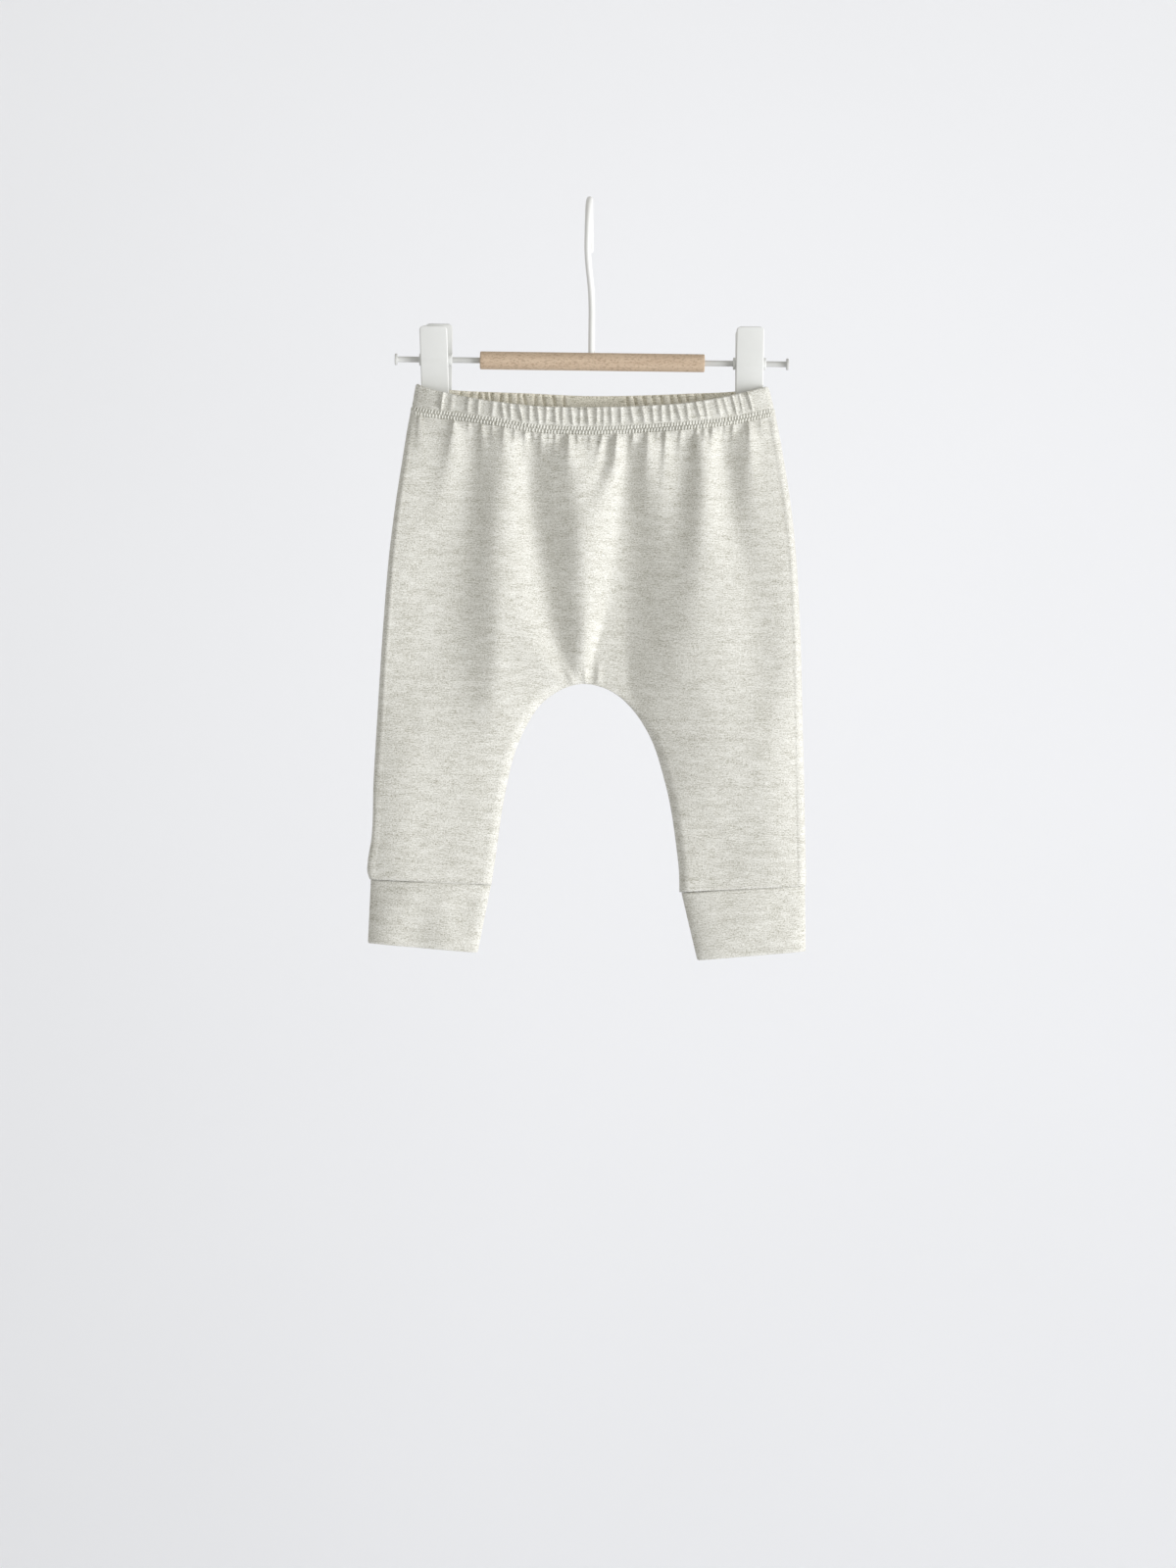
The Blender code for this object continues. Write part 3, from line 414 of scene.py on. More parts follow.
# Each fold is a list of points down its crest, in mm: x, z, height (a trough is negative), and how wide
# it is to the left and to the right of its crest.
frontFolds = [
    [(-76.5, -115, 1.5, 6, 5.5), (-78.5, -145, 1.6, 6, 7), (-82, -164, 1.4, 7, 9),
     (-86.5, -187, 0.6, 8, 10), (-90, -204, 0, 8, 10)],
    [(-67, -115, -0.8, 6, 5), (-67.5, -145, -1.2, 8, 7), (-70, -168, -0.9, 12, 9),
     (-72, -200, -0.5, 16, 12), (-74, -232, -0.3, 18, 14), (-78, -270, 0, 18, 15)],
    [(-46.5, -118, 2.4, 8, 5.5), (-48.5, -145, 3.0, 10, 7), (-50.5, -170, 4.1, 11.5, 11.5),
     (-52, -204, 4.9, 12, 14.5), (-54, -238, 4.6, 14, 17), (-54.5, -267, 3.8, 16, 18),
     (-52, -295, 2.3, 17, 18), (-49, -335, 0, 18, 16)],
    [(-49, -215, 0, 7, 7), (-50, -240, 0.9, 7, 7), (-51, -265, 1.0, 7, 7), (-53, -290, 0.6, 7, 7),
     (-54, -315, 0, 7, 7)],
    [(-32.5, -118, -3.2, 6, 7), (-33, -147, -4.2, 7, 9.5), (-32, -172, -5.6, 8.5, 11.5),
     (-27.5, -202, -6.4, 11, 12), (-23, -228, -7.0, 12.5, 13), (-19, -250, -7.2, 11, 12),
     (-15.5, -261, -6.0, 9.5, 10), (-10.5, -272, -3.8, 7, 7), (-7, -283, 0, 4, 4)],
    [(-10.5, -118, 3.0, 6, 4.5), (-10, -149, 3.2, 7, 7.5), (-4.5, -171, 2.9, 10, 15),
     (-0.5, -203, 4.0, 10, 14), (3.5, -232, 3.0, 10, 12), (3.5, -252, 2.7, 7, 7), (3.5, -263, 2.2, 6, 5),
     (4.5, -274, 1.4, 5, 5), (4.5, -282, 0, 3, 3)],
    [(13, -118, -1.5, 4, 4), (12.5, -138, -2.0, 4, 4), (10.5, -152, -2.2, 4, 4.5), (5, -168, -0.9, 5, 5),
     (1, -182, 0, 5, 5)],
    [(17, -118, 1.6, 4, 3.5), (17, -138, 2.0, 4.5, 4), (16.5, -154, 2.2, 6, 5), (13, -176, 1.1, 7, 6),
     (10, -200, 0.5, 8, 8), (8, -220, 0, 8, 8)],
    [(23.5, -118, -2.6, 6, 6), (23.5, -146, -3.6, 7.5, 7.5), (21.5, -172, -6.8, 10, 12),
     (20, -200, -8.8, 14, 19.5), (17.5, -226, -10.2, 16, 23), (13, -250, -11.2, 10.5, 26.5),
     (9, -270, -10.5, 8, 28), (10, -295, -6.0, 8, 26), (18, -318, -1.5, 8, 20), (22, -335, 0, 8, 16)],
    [(35, -118, 1.6, 4, 5), (35, -142, 1.7, 5, 7), (36, -160, 0.8, 6, 8), (38, -178, 0, 7, 9)],
    [(55, -118, -1.2, 7, 6), (55, -145, -1.2, 10, 8), (55, -168, -1.2, 12, 9), (54, -190, -1.1, 13, 10),
     (53, -215, -0.6, 13, 12), (52, -240, 0, 12, 12)],
    [(68, -118, 2.8, 6, 5), (68, -142, 3.3, 6, 5.5), (68.5, -168, 4.8, 9, 9),
     (68.5, -197, 4.4, 11.5, 14.5), (67.5, -231, 3.0, 14, 24), (66, -265, 1.8, 17, 26),
     (65, -300, 0, 18, 26)],
    [(79.5, -115, -1.8, 6, 7), (79.5, -142, -2.4, 6, 9), (82.5, -168, -2.2, 9, 9),
     (87, -196, -1.8, 12, 9), (94, -222, -1.0, 14, 9), (97, -250, -0.7, 14, 9), (97, -290, -0.5, 14, 10),
     (96, -320, 0, 14, 10)],
    [(93, -112, 1.6, 5, 5), (93.5, -140, 2.0, 6, 5.5), (94, -156, 1.9, 6, 6.5), (97, -179, 0.6, 8, 9),
     (98, -193, 0, 8, 10)],
]
# The front stands forward along its left edge and over the whole of the right hip.
frontSides = [
    [(-109, -118, 0, 12, 14), (-112, -140, 2.0, 12, 18), (-115, -170, 3.7, 12, 21),
     (-118, -215, 4.7, 12, 23), (-120, -270, 4.7, 12, 24), (-122, -330, 4.0, 12, 26),
     (-123, -372, 2.8, 12, 28), (-124, -400, 0.8, 12, 28)],
    [(96, -122, 0, 24, 40), (98, -142, 2.8, 30, 50), (101, -168, 5.6, 38, 60), (104, -200, 7.4, 46, 70),
     (104, -245, 8.0, 48, 80), (101, -285, 6.2, 46, 80), (95, -325, 2.8, 42, 80), (90, -365, 0, 38, 80)],
]
backFolds = [
    [(-90, -125, 0, 5, 5), (-90, -140, -1.2, 6, 7), (-91, -185, 0, 8, 8)],
    [(-74, -126, 0, 6, 6), (-74, -145, 2.2, 9, 9), (-72, -190, 1.6, 10, 10), (-71, -235, 0, 12, 12)],
    [(-55, -126, 0, 6, 6), (-54, -150, -2.2, 8, 9), (-53, -210, -1.8, 10, 10), (-52, -270, 0, 12, 12)],
    [(-37, -127, 0, 6, 6), (-36, -150, 2.4, 9, 9), (-33, -210, 2.2, 11, 11), (-30, -290, 0, 12, 12)],
    [(-18, -127, 0, 6, 6), (-16, -150, -2.4, 8, 8), (-12, -215, -2.2, 9, 9), (-9, -281, 0, 5, 5)],
    [(2, -128, 0, 6, 6), (2, -150, 2.6, 9, 9), (2, -220, 2.4, 9, 9), (2, -282, 0, 4, 4)],
    [(21, -127, 0, 6, 6), (19, -150, -2.3, 8, 8), (16, -215, -2.1, 9, 9), (13, -281, 0, 5, 5)],
    [(40, -127, 0, 6, 6), (40, -150, 2.2, 9, 9), (39, -205, 1.8, 11, 11), (38, -265, 0, 12, 12)],
    [(60, -126, 0, 6, 6), (60, -145, -2.0, 8, 8), (60, -190, -1.5, 10, 10), (60, -245, 0, 10, 10)],
    [(79, -125, 0, 6, 6), (79, -142, 1.9, 8, 8), (80, -175, 1.2, 9, 9), (80, -215, 0, 10, 10)],
    [(96, -124, 0, 5, 5), (96, -138, -1.0, 6, 6), (98, -175, 0, 8, 8)],
]
# Where the two legs meet, the seam draws the cloth into small pleats.
crotchPleats = [
    [(-14, -268, 0, 1.5, 2), (-9, -276, 1.0, 1.8, 2.2), (-5.5, -283, 0.9, 1.4, 1.8)],
    [(1.5, -270, 0, 1.5, 1.5), (1, -277, 1.1, 1.6, 1.8), (0.5, -283, 1.0, 1.3, 1.5)],
    [(9, -267, 0, 1.5, 2), (8.5, -276, 1.0, 1.7, 2.2), (8, -283, 0.9, 1.5, 1.8)],
]
# Shallow slanting creases of the legs.
legCreases = {
    "front": [
        [(70, -346, 0, 3, 4), (76, -356, 0.3, 3, 5), (83, -366, 0.3, 3, 5), (90, -375, 0, 3, 4)],
        [(-104, -296, 0, 5, 5), (-98, -312, -0.4, 6, 6), (-88, -332, 0, 6, 6)],
    ],
    "back": [
        [(-84, -326, 0, 4, 4), (-90, -342, 0.45, 4, 4), (-98, -358, 0, 4, 4)],
        [(92, -308, 0, 5, 5), (84, -326, -0.45, 6, 6), (76, -346, 0, 5, 5)],
    ],
}

# Small gathers that hang from the front's seam, in mm: x, reach down, height, width, and how far it leans
# sideways for each mm that it falls.
frontGathers = [
    (-98, 14, 0.6, 1.4, 0), (-77.5, 20, 0.9, 1.5, -0.10), (-69, 7, 0.5, 0.9, 0),
    (-61.5, 17, 0.8, 1.3, 0.05), (-55, 8, 0.5, 0.9, 0), (-48.5, 10, 0.7, 1.0, 0),
    (-42, 9, 0.6, 0.9, -0.05), (-36, 13, 0.9, 1.2, 0.06), (-31, 6, 0.4, 0.8, 0), (-26.6, 12, 0.8, 1.1, 0),
    (-22, 6, 0.4, 0.8, 0), (-18, 9, 0.7, 1.0, -0.05), (-10.4, 14, 1.0, 1.3, 0), (-5.5, 9, 0.6, 0.9, 0.05),
    (2, 7, 0.5, 0.9, 0), (9, 16, 0.9, 1.2, -0.14), (17.5, 18, 1.0, 1.2, -0.03), (27, 13, 0.8, 1.2, -0.10),
    (35.5, 18, 0.9, 1.3, 0), (41, 6, 0.4, 0.8, 0), (45.8, 30, 1.1, 1.3, 0), (54.7, 12, 0.8, 1.2, -0.03),
    (63.8, 13, 0.9, 1.2, 0.03), (68.5, 7, 0.4, 0.8, 0), (73, 22, 1.0, 1.4, 0), (80.5, 6, 0.4, 0.8, 0),
    (85, 9, 0.8, 1.0, 0), (94, 24, 1.0, 1.5, 0.10), (101, 8, 0.4, 0.9, 0.1), (108.5, 17, 0.8, 1.5, 0.15),
]


def backGathers():
    # Such gathers at about even steps along the back's seam, each a little different.
    rng = np.random.default_rng(12)
    return [(middle + rng.normal(0, 0.9), 13 * rng.uniform(0.5, 1.9), 0.75 * rng.uniform(0.45, 1.4),
             rng.uniform(1.0, 1.7), rng.normal(0, 0.12)) for middle in np.arange(-98, 106, 5.1)]


inseamLine = evenRoute(np.array(inseamPoints) * mm, 501)
apexIndex = int(np.argmax(inseamLine[:, 1]))


def toInseam(x, z):
    # Distance of each point from the inseam's nearest short straight piece.
    start, run = inseamLine[:-1], np.diff(inseamLine, axis=0)
    flat = np.column_stack([x.ravel(), z.ravel()])
    nearest = np.full(len(flat), 9.0)
    for part in range(0, len(start), 50):
        s, r = start[part:part + 50], run[part:part + 50]
        away = flat[:, None, :] - s[None]
        share = np.clip((away * r).sum(axis=2) / (r * r).sum(axis=1), 0, 1)
        distance = np.sqrt(((away - share[:, :, None] * r) ** 2).sum(axis=2))
        nearest = np.minimum(nearest, distance.min(axis=1))
    return nearest.reshape(x.shape)


def foldField(folds, x, z, pinch=1.0):
    # A bell across each fold's crest, with its own width on either side. Crest, height and widths follow
    # splines down the fold, and the pinch takes the same share of both height and width.
    total = np.zeros_like(x)
    for fold in folds:
        rows = np.array(sorted(fold, key=lambda row: row[1]), float)
        down = z / mm
        crest, height, left, right = (spline(down, rows[:, 1], rows[:, i]) for i in (0, 2, 3, 4))
        away = (x / mm - crest) / pinch
        inside = (down > rows[0, 1]) & (down < rows[-1, 1])
        bell = np.exp(-((away / np.where(away < 0, left, right)) ** 2))
        total += np.where(inside, pinch * height * bell, 0) * mm
    return total


def belowSeam(x, z, seamColumn):
    # How far a point lies below the band's seam, in mm.
    return (bandHeight(seamColumn, x) - z) / mm


def gatherField(gathers, x, z, seamColumn):
    # A bell across each gather: narrow under the stitches, wider as it falls, and gone past its reach.
    below = belowSeam(x, z, seamColumn)
    fallen = np.maximum(below - panel["stitched"], 0)
    total = np.zeros_like(x)
    for middle, reach, height, width, lean in gathers:
        fade = np.exp(-((fallen / reach) ** 1.5)) * eased((below - 0.6 * panel["stitched"]) / 4)
        spread = width * (0.55 + 0.45 * eased(fallen / 5)) + panel["gatherSpread"] * fallen
        away = (x / mm - middle - lean * fallen) / spread
        away = away * np.where(away < 0, 1.5, 0.8)  # steeper on its left
        total += panel["gatherGain"] * height * fade * np.exp(-(away**2)) * mm
    return total


def fullness(side, z, reach=60 * mm):
    # How much of the bulge there is at a distance from the edge: a share of half a parabola and a share
    # of an eased step. The hips lie flat beside the seams and swell further in, the band swells at once,
    # and the legs are round.
    hips = 0.08 * swollen(side, 16 * mm) + 0.72 * eased((side - 20 * mm) / reach)
    top = 0.35 * swollen(side, 14 * mm) + 0.65 * eased((side - 4 * mm) / (56 * mm))
    hips = hips + (top - hips) * eased((z + 170 * mm) / (45 * mm))
    legs = swollen(side, 0.7 * level("belly", z))
    return legs + (hips - legs) * eased((z + 330 * mm) / (70 * mm))


def panelDepth(x, z, front):
    # How far the cloth stands off the plane of the seams: its rounded edge, bulge, folds, pleats at the
    # crotch, gathers under the band, seam ridges and an uneven hang, all added up. A soft floor keeps
    # the troughs open.
    side = np.minimum(x - level("left", z), level("right", z) - x)
    inseam = toInseam(x, z)
    name = "front" if front < 0 else "back"
    legShare = eased((-300 * mm - z) / (50 * mm))
    run = level("run", z) * (panel["sharper"] - np.where(x < 0, panel["leftTighter"], 0) * legShare)
    turn, soft = rounded(side, run), panel["rightSofter"]
    turn = np.where(x < 0, turn, (1 - soft) * turn + soft * swollen(side, 14 * mm))
    edge = level("edge", z) * turn * rounded(inseam, panel["seamRoll"])
    bulge = level(name, z) * fullness(side, z, np.where(x < 0, *panel["hipReach"]))
    bulge *= swollen(inseam, panel["seamBelly"])
    away = swollen(side, 12 * mm) * swollen(inseam, 6.5 * mm)
    pinch = 0.12 + 0.88 * eased((belowSeam(x, z, name + "Seam") - panel["stitched"]) / panel["opened"])
    folds = foldField(frontFolds if front < 0 else backFolds, x, z, pinch) * away
    folds += foldField(legCreases[name], x, z) * away
    if front < 0:
        folds += foldField(frontSides, x, z) * turn * swollen(inseam, 12 * mm)
    pleats = foldField(crotchPleats, x, z) * rounded(inseam, 2.5 * mm)
    gathers = gatherField(frontGathers if front < 0 else backGathers(), x, z, name + "Seam")
    gathers *= swollen(side, 7 * mm)
    ridge = np.where(x < 0, *panel["seamRidge"])
    ridge = ridge * (1 - eased((side - panel["seamRidgeWidth"]) / (1.1 * mm)))
    ridge *= rounded(side, 1.5 * mm) * rounded(inseam, 6 * mm)
    drift = softNoise(x, z * 0.6, 46 * mm, 5 + front) * panel["uneven"] * away
    least = -panel["deepest"] * edge
    swell = bulge + folds - least
    softness = (1 * mm) ** 2 * rounded(side, 12 * mm) * rounded(inseam, 9 * mm)
    swell = (swell + np.sqrt(swell**2 + softness)) / 2 + least
    return edge + swell + pleats + gathers + ridge + drift


def panelPlane(side, seamColumn):
    # The half's grid in the plane of the seams: each row runs straight from the side seam to the centre
    # or the inseam, and the rows near the band sag with it.
    edgeColumn = "left" if side < 0 else "right"
    outTopX = level(edgeColumn, -118 * mm)
    outTopZ = bandHeight(seamColumn, outTopX) - panel["topGap"]
    leg = inseamLine[apexIndex::-1] if side < 0 else inseamLine[apexIndex:]
    reached = np.append(0, np.cumsum(np.linalg.norm(np.diff(leg, axis=0), axis=1)))
    down = np.linspace(0, 1, panel["rowsAbove"] + 1) ** 1.5  # rows lie closer together under the band
    legShare = np.linspace(0, 1, panel["rowsBelow"] + 1)[1:]
    apexX, apexZ = panel["apex"]
    centreTop = bandHeight(seamColumn, apexX) - panel["topGap"]
    inner = np.column_stack([np.full(len(down), apexX), centreTop + (apexZ - centreTop) * down])
    below = np.column_stack([np.interp(legShare * reached[-1], reached, leg[:, i]) for i in (0, 1)])
    inner = np.vstack([inner, below])
    bottomZ = panel["hem"][0 if side < 0 else 1]
    turn = panel["sideRowAtApex"]
    outerZ = np.append(outTopZ + (turn - outTopZ) * down, turn + (bottomZ - turn) * legShare)
    outer = np.column_stack([level(edgeColumn, outerZ), outerZ])
    width = np.linalg.norm(inner - outer, axis=1)[:, None]
    roll = np.array(panel["roll"]) * mm
    middle = np.linspace(0, 1, panel["columns"] + 2)[1:-1]
    fromSide = np.hstack([
        np.repeat(roll[None], len(width), axis=0),
        roll[-1] + (width - 2 * roll[-1]) * middle,
        width - roll[::-1],
    ])
    share = (fromSide / width)[:, :, None]
    plane = outer[:, None, :] * (1 - share) + inner[:, None, :] * share
    sag = bandHeight(seamColumn, plane[0, :, 0]) - panel["topGap"] - plane[0, :, 1]
    sag = sag * (1 - np.linspace(0, 1, len(width))[:, None]) ** 2
    plane[:, :, 1] += sag
    return plane, sag


def gridNormals(points, front):
    # Square to the grid's two directions, and towards the front or the back.
    normal = np.cross(np.gradient(points, axis=1), np.gradient(points, axis=0))
    normal /= np.linalg.norm(normal, axis=2, keepdims=True)
    normal[np.sign(normal[:, :, 1]) != front] *= -1
    return normal


def edgeNormals(edge, inside):
    # In the plane of the seams, square to the edge and away from the cloth.
    along = np.gradient(edge, axis=0)
    normal = np.column_stack([along[:, 2], np.zeros(len(edge)), -along[:, 0]])
    normal /= np.linalg.norm(normal, axis=1, keepdims=True)
    normal[((edge - inside) * normal).sum(axis=1) < 0] *= -1
    return normal


def makePanel(name, front, seamColumn, node):
    # The outside of each half from its depth over the plane, the inside one wall further in, and the cut
    # edges between them.
    halves = []
    apexRow = panel["rowsAbove"]
    for side in (-1, 1):
        plane, sag = panelPlane(side, seamColumn)
        x, z = plane[:, :, 0], plane[:, :, 1]
        depth = panelDepth(x, z, front)
        depth[:, 0] = 0
        depth[apexRow:, -1] = 0
        points = np.dstack([x, hang["seamPlaneY"] + front * (panel["gap"] / 2 + depth), z])
        normals = gridNormals(points, front)
        normals[:, 0] = edgeNormals(points[:, 0], points[:, 3])
        normals[apexRow:, -1] = edgeNormals(points[apexRow:, -1], points[apexRow:, -4])
        normals[[0, -1], :, 2] = 0
        steps = np.linalg.norm(np.diff(points, axis=1), axis=2)
        along = np.hstack([np.zeros((len(steps), 1)), np.cumsum(steps, axis=1)])
        u = points[:, -1:, 0] + side * (along[:, -1:] - along)
        uv = np.dstack([u + (0.4 if front > 0 else 0), z - sag])
        halves.append([points, normals, uv])
    shared = (halves[0][1][:apexRow, -1] + halves[1][1][:apexRow, -1]) / 2
    allPoints, allFaces, allUv, first = [], [], [], 0
    for points, normals, uv in halves:
        normals[:apexRow, -1] = shared
        normals[apexRow, -1] = (0, 0, -1)
        normals /= np.linalg.norm(normals, axis=2, keepdims=True)
        inside = points - normals * panel["wall"]
        least = hang["seamPlaneY"] + front * panel["gap"] / 2
        clip = np.maximum if front > 0 else np.minimum
        inside[:, :, 1] = clip(inside[:, :, 1], least)
        inside, insideUv = inside[::2, ::2], uv[::2, ::2]  # the inside is half as fine
        out = first + np.arange(points.size // 3).reshape(points.shape[:2])
        inn = out.max() + 1 + np.arange(inside.size // 3).reshape(inside.shape[:2])
        allPoints += [points.reshape(-1, 3), inside.reshape(-1, 3)]
        allUv += [uv.reshape(-1, 2), insideUv.reshape(-1, 2)]
        allFaces += [gridFaces(out), gridFaces(inn)]
        half = apexRow // 2
        for line, same in ((np.s_[:, 0],) * 2, (np.s_[0, :],) * 2, (np.s_[-1, :],) * 2,
                           (np.s_[apexRow:, -1], np.s_[half:, -1])):
            allFaces.append(stripFaces(out[line], inn[same]))
        first = inn.max() + 1
    piece = makeMesh(name, np.vstack(allPoints), allFaces, np.vstack(allUv), jersey, "jersey", node)


makePanel("frontCloth", -1, "frontSeam", "front_panel")
makePanel("backCloth", 1, "backSeam", "back_panel")
print("panels made")


band = {
    "wall": 2.4 * mm,
    "tall": 14 * mm,
    "length": 0.43,  # of the cloth's own coordinate round the band
    "around": 1280,
    "height": 1.25 * mm,  # of a gather's ridge
    "inside": 1.25,  # share of that on the inside
    "sunk": 0.3,  # share of it by which the valleys lie behind the plain wall
    "middleZ": -118 * mm,
    "pressed": 24 * mm,  # from either side, where the clips press the back flat
    "thicker": 0.6 * mm,  # more than the panels at the rounded edge
    "stitchDip": 0.30 * mm,
    "lap": 0.12 * mm,
    "rimFrom": 0.9,  # share of the height at which the wall starts to turn over
}

# The ridges of the front's gathers, in mm: x at half height, share of the full height, width, and how far
# the ridge leans to the right for each mm that it falls.
frontRidges = [
    (-84.6, 1.3, 0.9, 0), (-79, 0.5, 1.6, 0), (-69, 0.8, 1.5, 0.02), (-63, 0.8, 1.2, 0.05),
    (-54.5, 0.8, 1.5, 0), (-48.5, 1.0, 1.2, 0.30), (-44, 0.9, 1.1, 0.20), (-38, 1.2, 1.1, 0.45),
    (-33, 0.9, 1.1, 0.10), (-28, 1.1, 1.1, 0.25), (-23.5, 0.8, 1.1, 0), (-18, 1.0, 1.3, 0.15),
    (-14, 0.8, 1.1, 0.05), (-8.5, 1.1, 1.1, 0.20), (-4, 0.7, 1.1, 0), (0.5, 1.2, 1.3, 0.15),
    (5.5, 0.9, 1.2, -0.05), (9.5, 0.7, 1.1, 0), (14, 0.8, 1.2, 0.05), (19.5, 0.9, 1.2, 0),
    (26, 1.0, 1.4, 0.20), (32.5, 1.1, 1.5, 0.20), (38, 0.9, 1.2, 0.05), (43, 0.9, 1.2, -0.05),
    (48, 1.0, 1.2, 0.05), (53, 1.1, 1.1, 0.30), (58, 0.8, 1.3, 0.05), (64.5, 1.1, 1.3, 0.30),
    (69, 0.8, 1.1, 0.10), (76.5, 0.9, 1.5, 0.20), (81, 0.7, 1.1, 0.30), (86, 1.1, 0.8, 0.20),
    (90, 0.6, 0.8, 0.10), (95.5, 1.2, 0.8, 0.20),
]
# Where the ridges of the back's inside stand, in mm. It is smooth in the middle.
innerRidges = [-75, -69, -63.5, -59, -55.5, -51, -45.5, -40.5, -36, -30.5, -25, -19, -13.5,
               24, 29, 34.5, 39.5, 44.5, 50, 55, 59.5, 64, 69]


def bandDepth(across, z, name):
    # The plain band's depth: the panels' rounded edge, a little thicker, and their bulge.
    half = (level("right", z) - level("left", z)) / 2
    inwards = half * (1 - np.abs(across))
    edge = (level("edge", z) + band["thicker"]) * rounded(inwards, level("run", z))
    return edge + level(name, z) * fullness(inwards, z)


def bandLoop():
    # Even steps round the band: the share of its half width, from -1 to 1, and -1 for the front or 1
    # for the back.
    count = band["around"] // 2
    half = (level("right", band["middleZ"]) - level("left", band["middleZ"])) / 2
    across = -np.cos(np.linspace(0, math.pi, 4001))
    shares = []
    for front, name in ((-1, "front"), (1, "back")):
        y = bandDepth(across, np.full_like(across, band["middleZ"]), name) * front
        reached = np.append(0, np.cumsum(np.hypot(np.diff(across * half), np.diff(y))))
        even = np.linspace(0, reached[-1], count, endpoint=False)
        shares.append(np.interp(even, reached, across) * -front)
    return np.concatenate(shares), np.repeat([-1, 1], count)


bandAcross, bandFront = bandLoop()
bandCount = len(bandAcross)
bandLeft, bandRight = level("left", band["middleZ"]), level("right", band["middleZ"])
bandX = bandLeft + (bandRight - bandLeft) / 2 * (1 + bandAcross)


def backRidges():
    # Such ridges at about even steps along the back's outside, each a little different.
    rng = np.random.default_rng(21)
    return [(middle + rng.normal(0, 0.6), rng.uniform(0.55, 1.25), rng.uniform(0.9, 1.6),
             rng.normal(0.02, 0.14)) for middle in np.arange(-97, 104, 5.0)]


def ridgeField(ridges, x, rise):
    # A bell across each ridge, whose crest leans along the band's height.
    total = np.zeros(np.broadcast(x, rise).shape)
    for middle, height, width, lean in ridges:
        away = x / mm - middle - 0.6 * lean * band["tall"] / mm * (0.5 - rise)
        total += height * np.exp(-((away / (0.9 * width)) ** 2))
    return total * band["height"]


def bandRelief(rise, inner):
    # The ridges stand out of the front, of the back's outside and of the back's inside. Under the clips
    # the back is pressed flat.
    fromSide = (bandRight - bandLeft) / 2 * (1 - np.abs(bandAcross))
    back = backRidges()
    if inner:
        rng = np.random.default_rng(22)
        back = [(x, rng.uniform(0.8, 1.3), rng.uniform(0.75, 1.15), rng.normal(0.15, 0.15))
                for x in innerRidges]
    free = eased((fromSide - band["pressed"]) / (5 * mm))
    front, back = ridgeField(frontRidges, bandX, rise), ridgeField(back, bandX, rise) * free
    return np.where(bandFront < 0, front, back)


def bandSurface(rise, inset, relief):
    # Points and normals round the band at a share of its height, less the inset and with the relief.
    seam = np.where(bandFront < 0, bandHeight("frontSeam", bandX), bandHeight("backSeam", bandX))
    rim = np.where(bandFront < 0, bandHeight("frontRim", bandX), bandHeight("backRim", bandX))
    z = seam + (rim - seam) * rise
    zLeft = level("left", z)
    x = zLeft + (level("right", z) - zLeft) / 2 * (1 + bandAcross)
    depth = np.where(bandFront < 0, bandDepth(bandAcross, z, "front"), bandDepth(bandAcross, z, "back"))
    flat = np.column_stack([x, hang["seamPlaneY"] + bandFront * depth])
    along = np.roll(flat, -1, axis=0) - np.roll(flat, 1, axis=0)
    normal = np.column_stack([along[:, 1], -along[:, 0]])
    normal /= np.linalg.norm(normal, axis=1, keepdims=True)
    moved = flat + normal * (relief - inset)[:, None]
    return np.column_stack([moved, z]), np.column_stack([normal, np.zeros(bandCount)])


def ridgeShare(rise):
    # The stitches hold the lower end of the ridges flat.
    return 0.12 + 0.88 * eased((rise - 0.09) / 0.3)


def stitchedIn(rise):
    # How far the stitches draw the cloth in, near the seam, and the small lap behind the panels.
    return band["stitchDip"] * (1 - eased((rise - 0.14) / 0.12)) + band["lap"]


def makeBand():
    # The wall's outline, carried round the band: up the outside, over the rim and down the inside.
    wall, tall, rimFrom = band["wall"], band["tall"], band["rimFrom"]
    outside = np.concatenate([[-0.04], np.linspace(0.0, rimFrom, 24)])
    rings, v = [], []

    def addRing(rise, inset, share, turned=0.0):
        relief = bandRelief(rise, False) * (1 - turned) + bandRelief(rise, True) * turned * band["inside"]
        rings.append(bandSurface(rise, inset, (relief - band["sunk"] * band["height"]) * share)[0])

    for rise in outside:
        addRing(rise, stitchedIn(rise), ridgeShare(rise))
        v.append(rise * tall)
    for turn in np.linspace(0, math.pi, 11)[1:-1]:
        inset = wall / 2 * (1 - math.cos(turn))
        over = (1 - rimFrom) * math.sin(turn)
        addRing(rimFrom + over, inset + band["lap"], 1 - 0.4 * math.sin(turn), turn / math.pi)
        v.append(rimFrom * tall + inset)
    for rise in outside[::-1]:
        addRing(rise, wall, 1.0, 1.0)
        v.append(rimFrom * tall + wall + (rimFrom - rise) * tall)
    rings = np.array(rings)
    rows = len(rings)
    ids = np.arange(rows * bandCount).reshape(rows, bandCount)
    u = np.arange(bandCount) / bandCount * band["length"]
    uv = np.dstack([np.repeat(u[None], rows, axis=0), np.repeat(np.array(v)[:, None], bandCount, axis=1)])
    piece = makeMesh("gatheredBand", rings, [loopFaces(ids)], uv, bandJersey, "band_jersey", "waistband")
    # The inside, from the middle of the rim on, gets a lighter copy of the band's marl: painted light that
    # brightens the shade inside the band.
    piece.data.materials.append(bandInsidePaintedLight)
    paintedLightFaces = np.zeros(len(piece.data.polygons), np.int32)
    paintedLightFaces[(len(outside) + 5) * bandCount:-bandCount] = 1
    piece.data.polygons.foreach_set("material_index", paintedLightFaces)


makeBand()
print("waistband made")


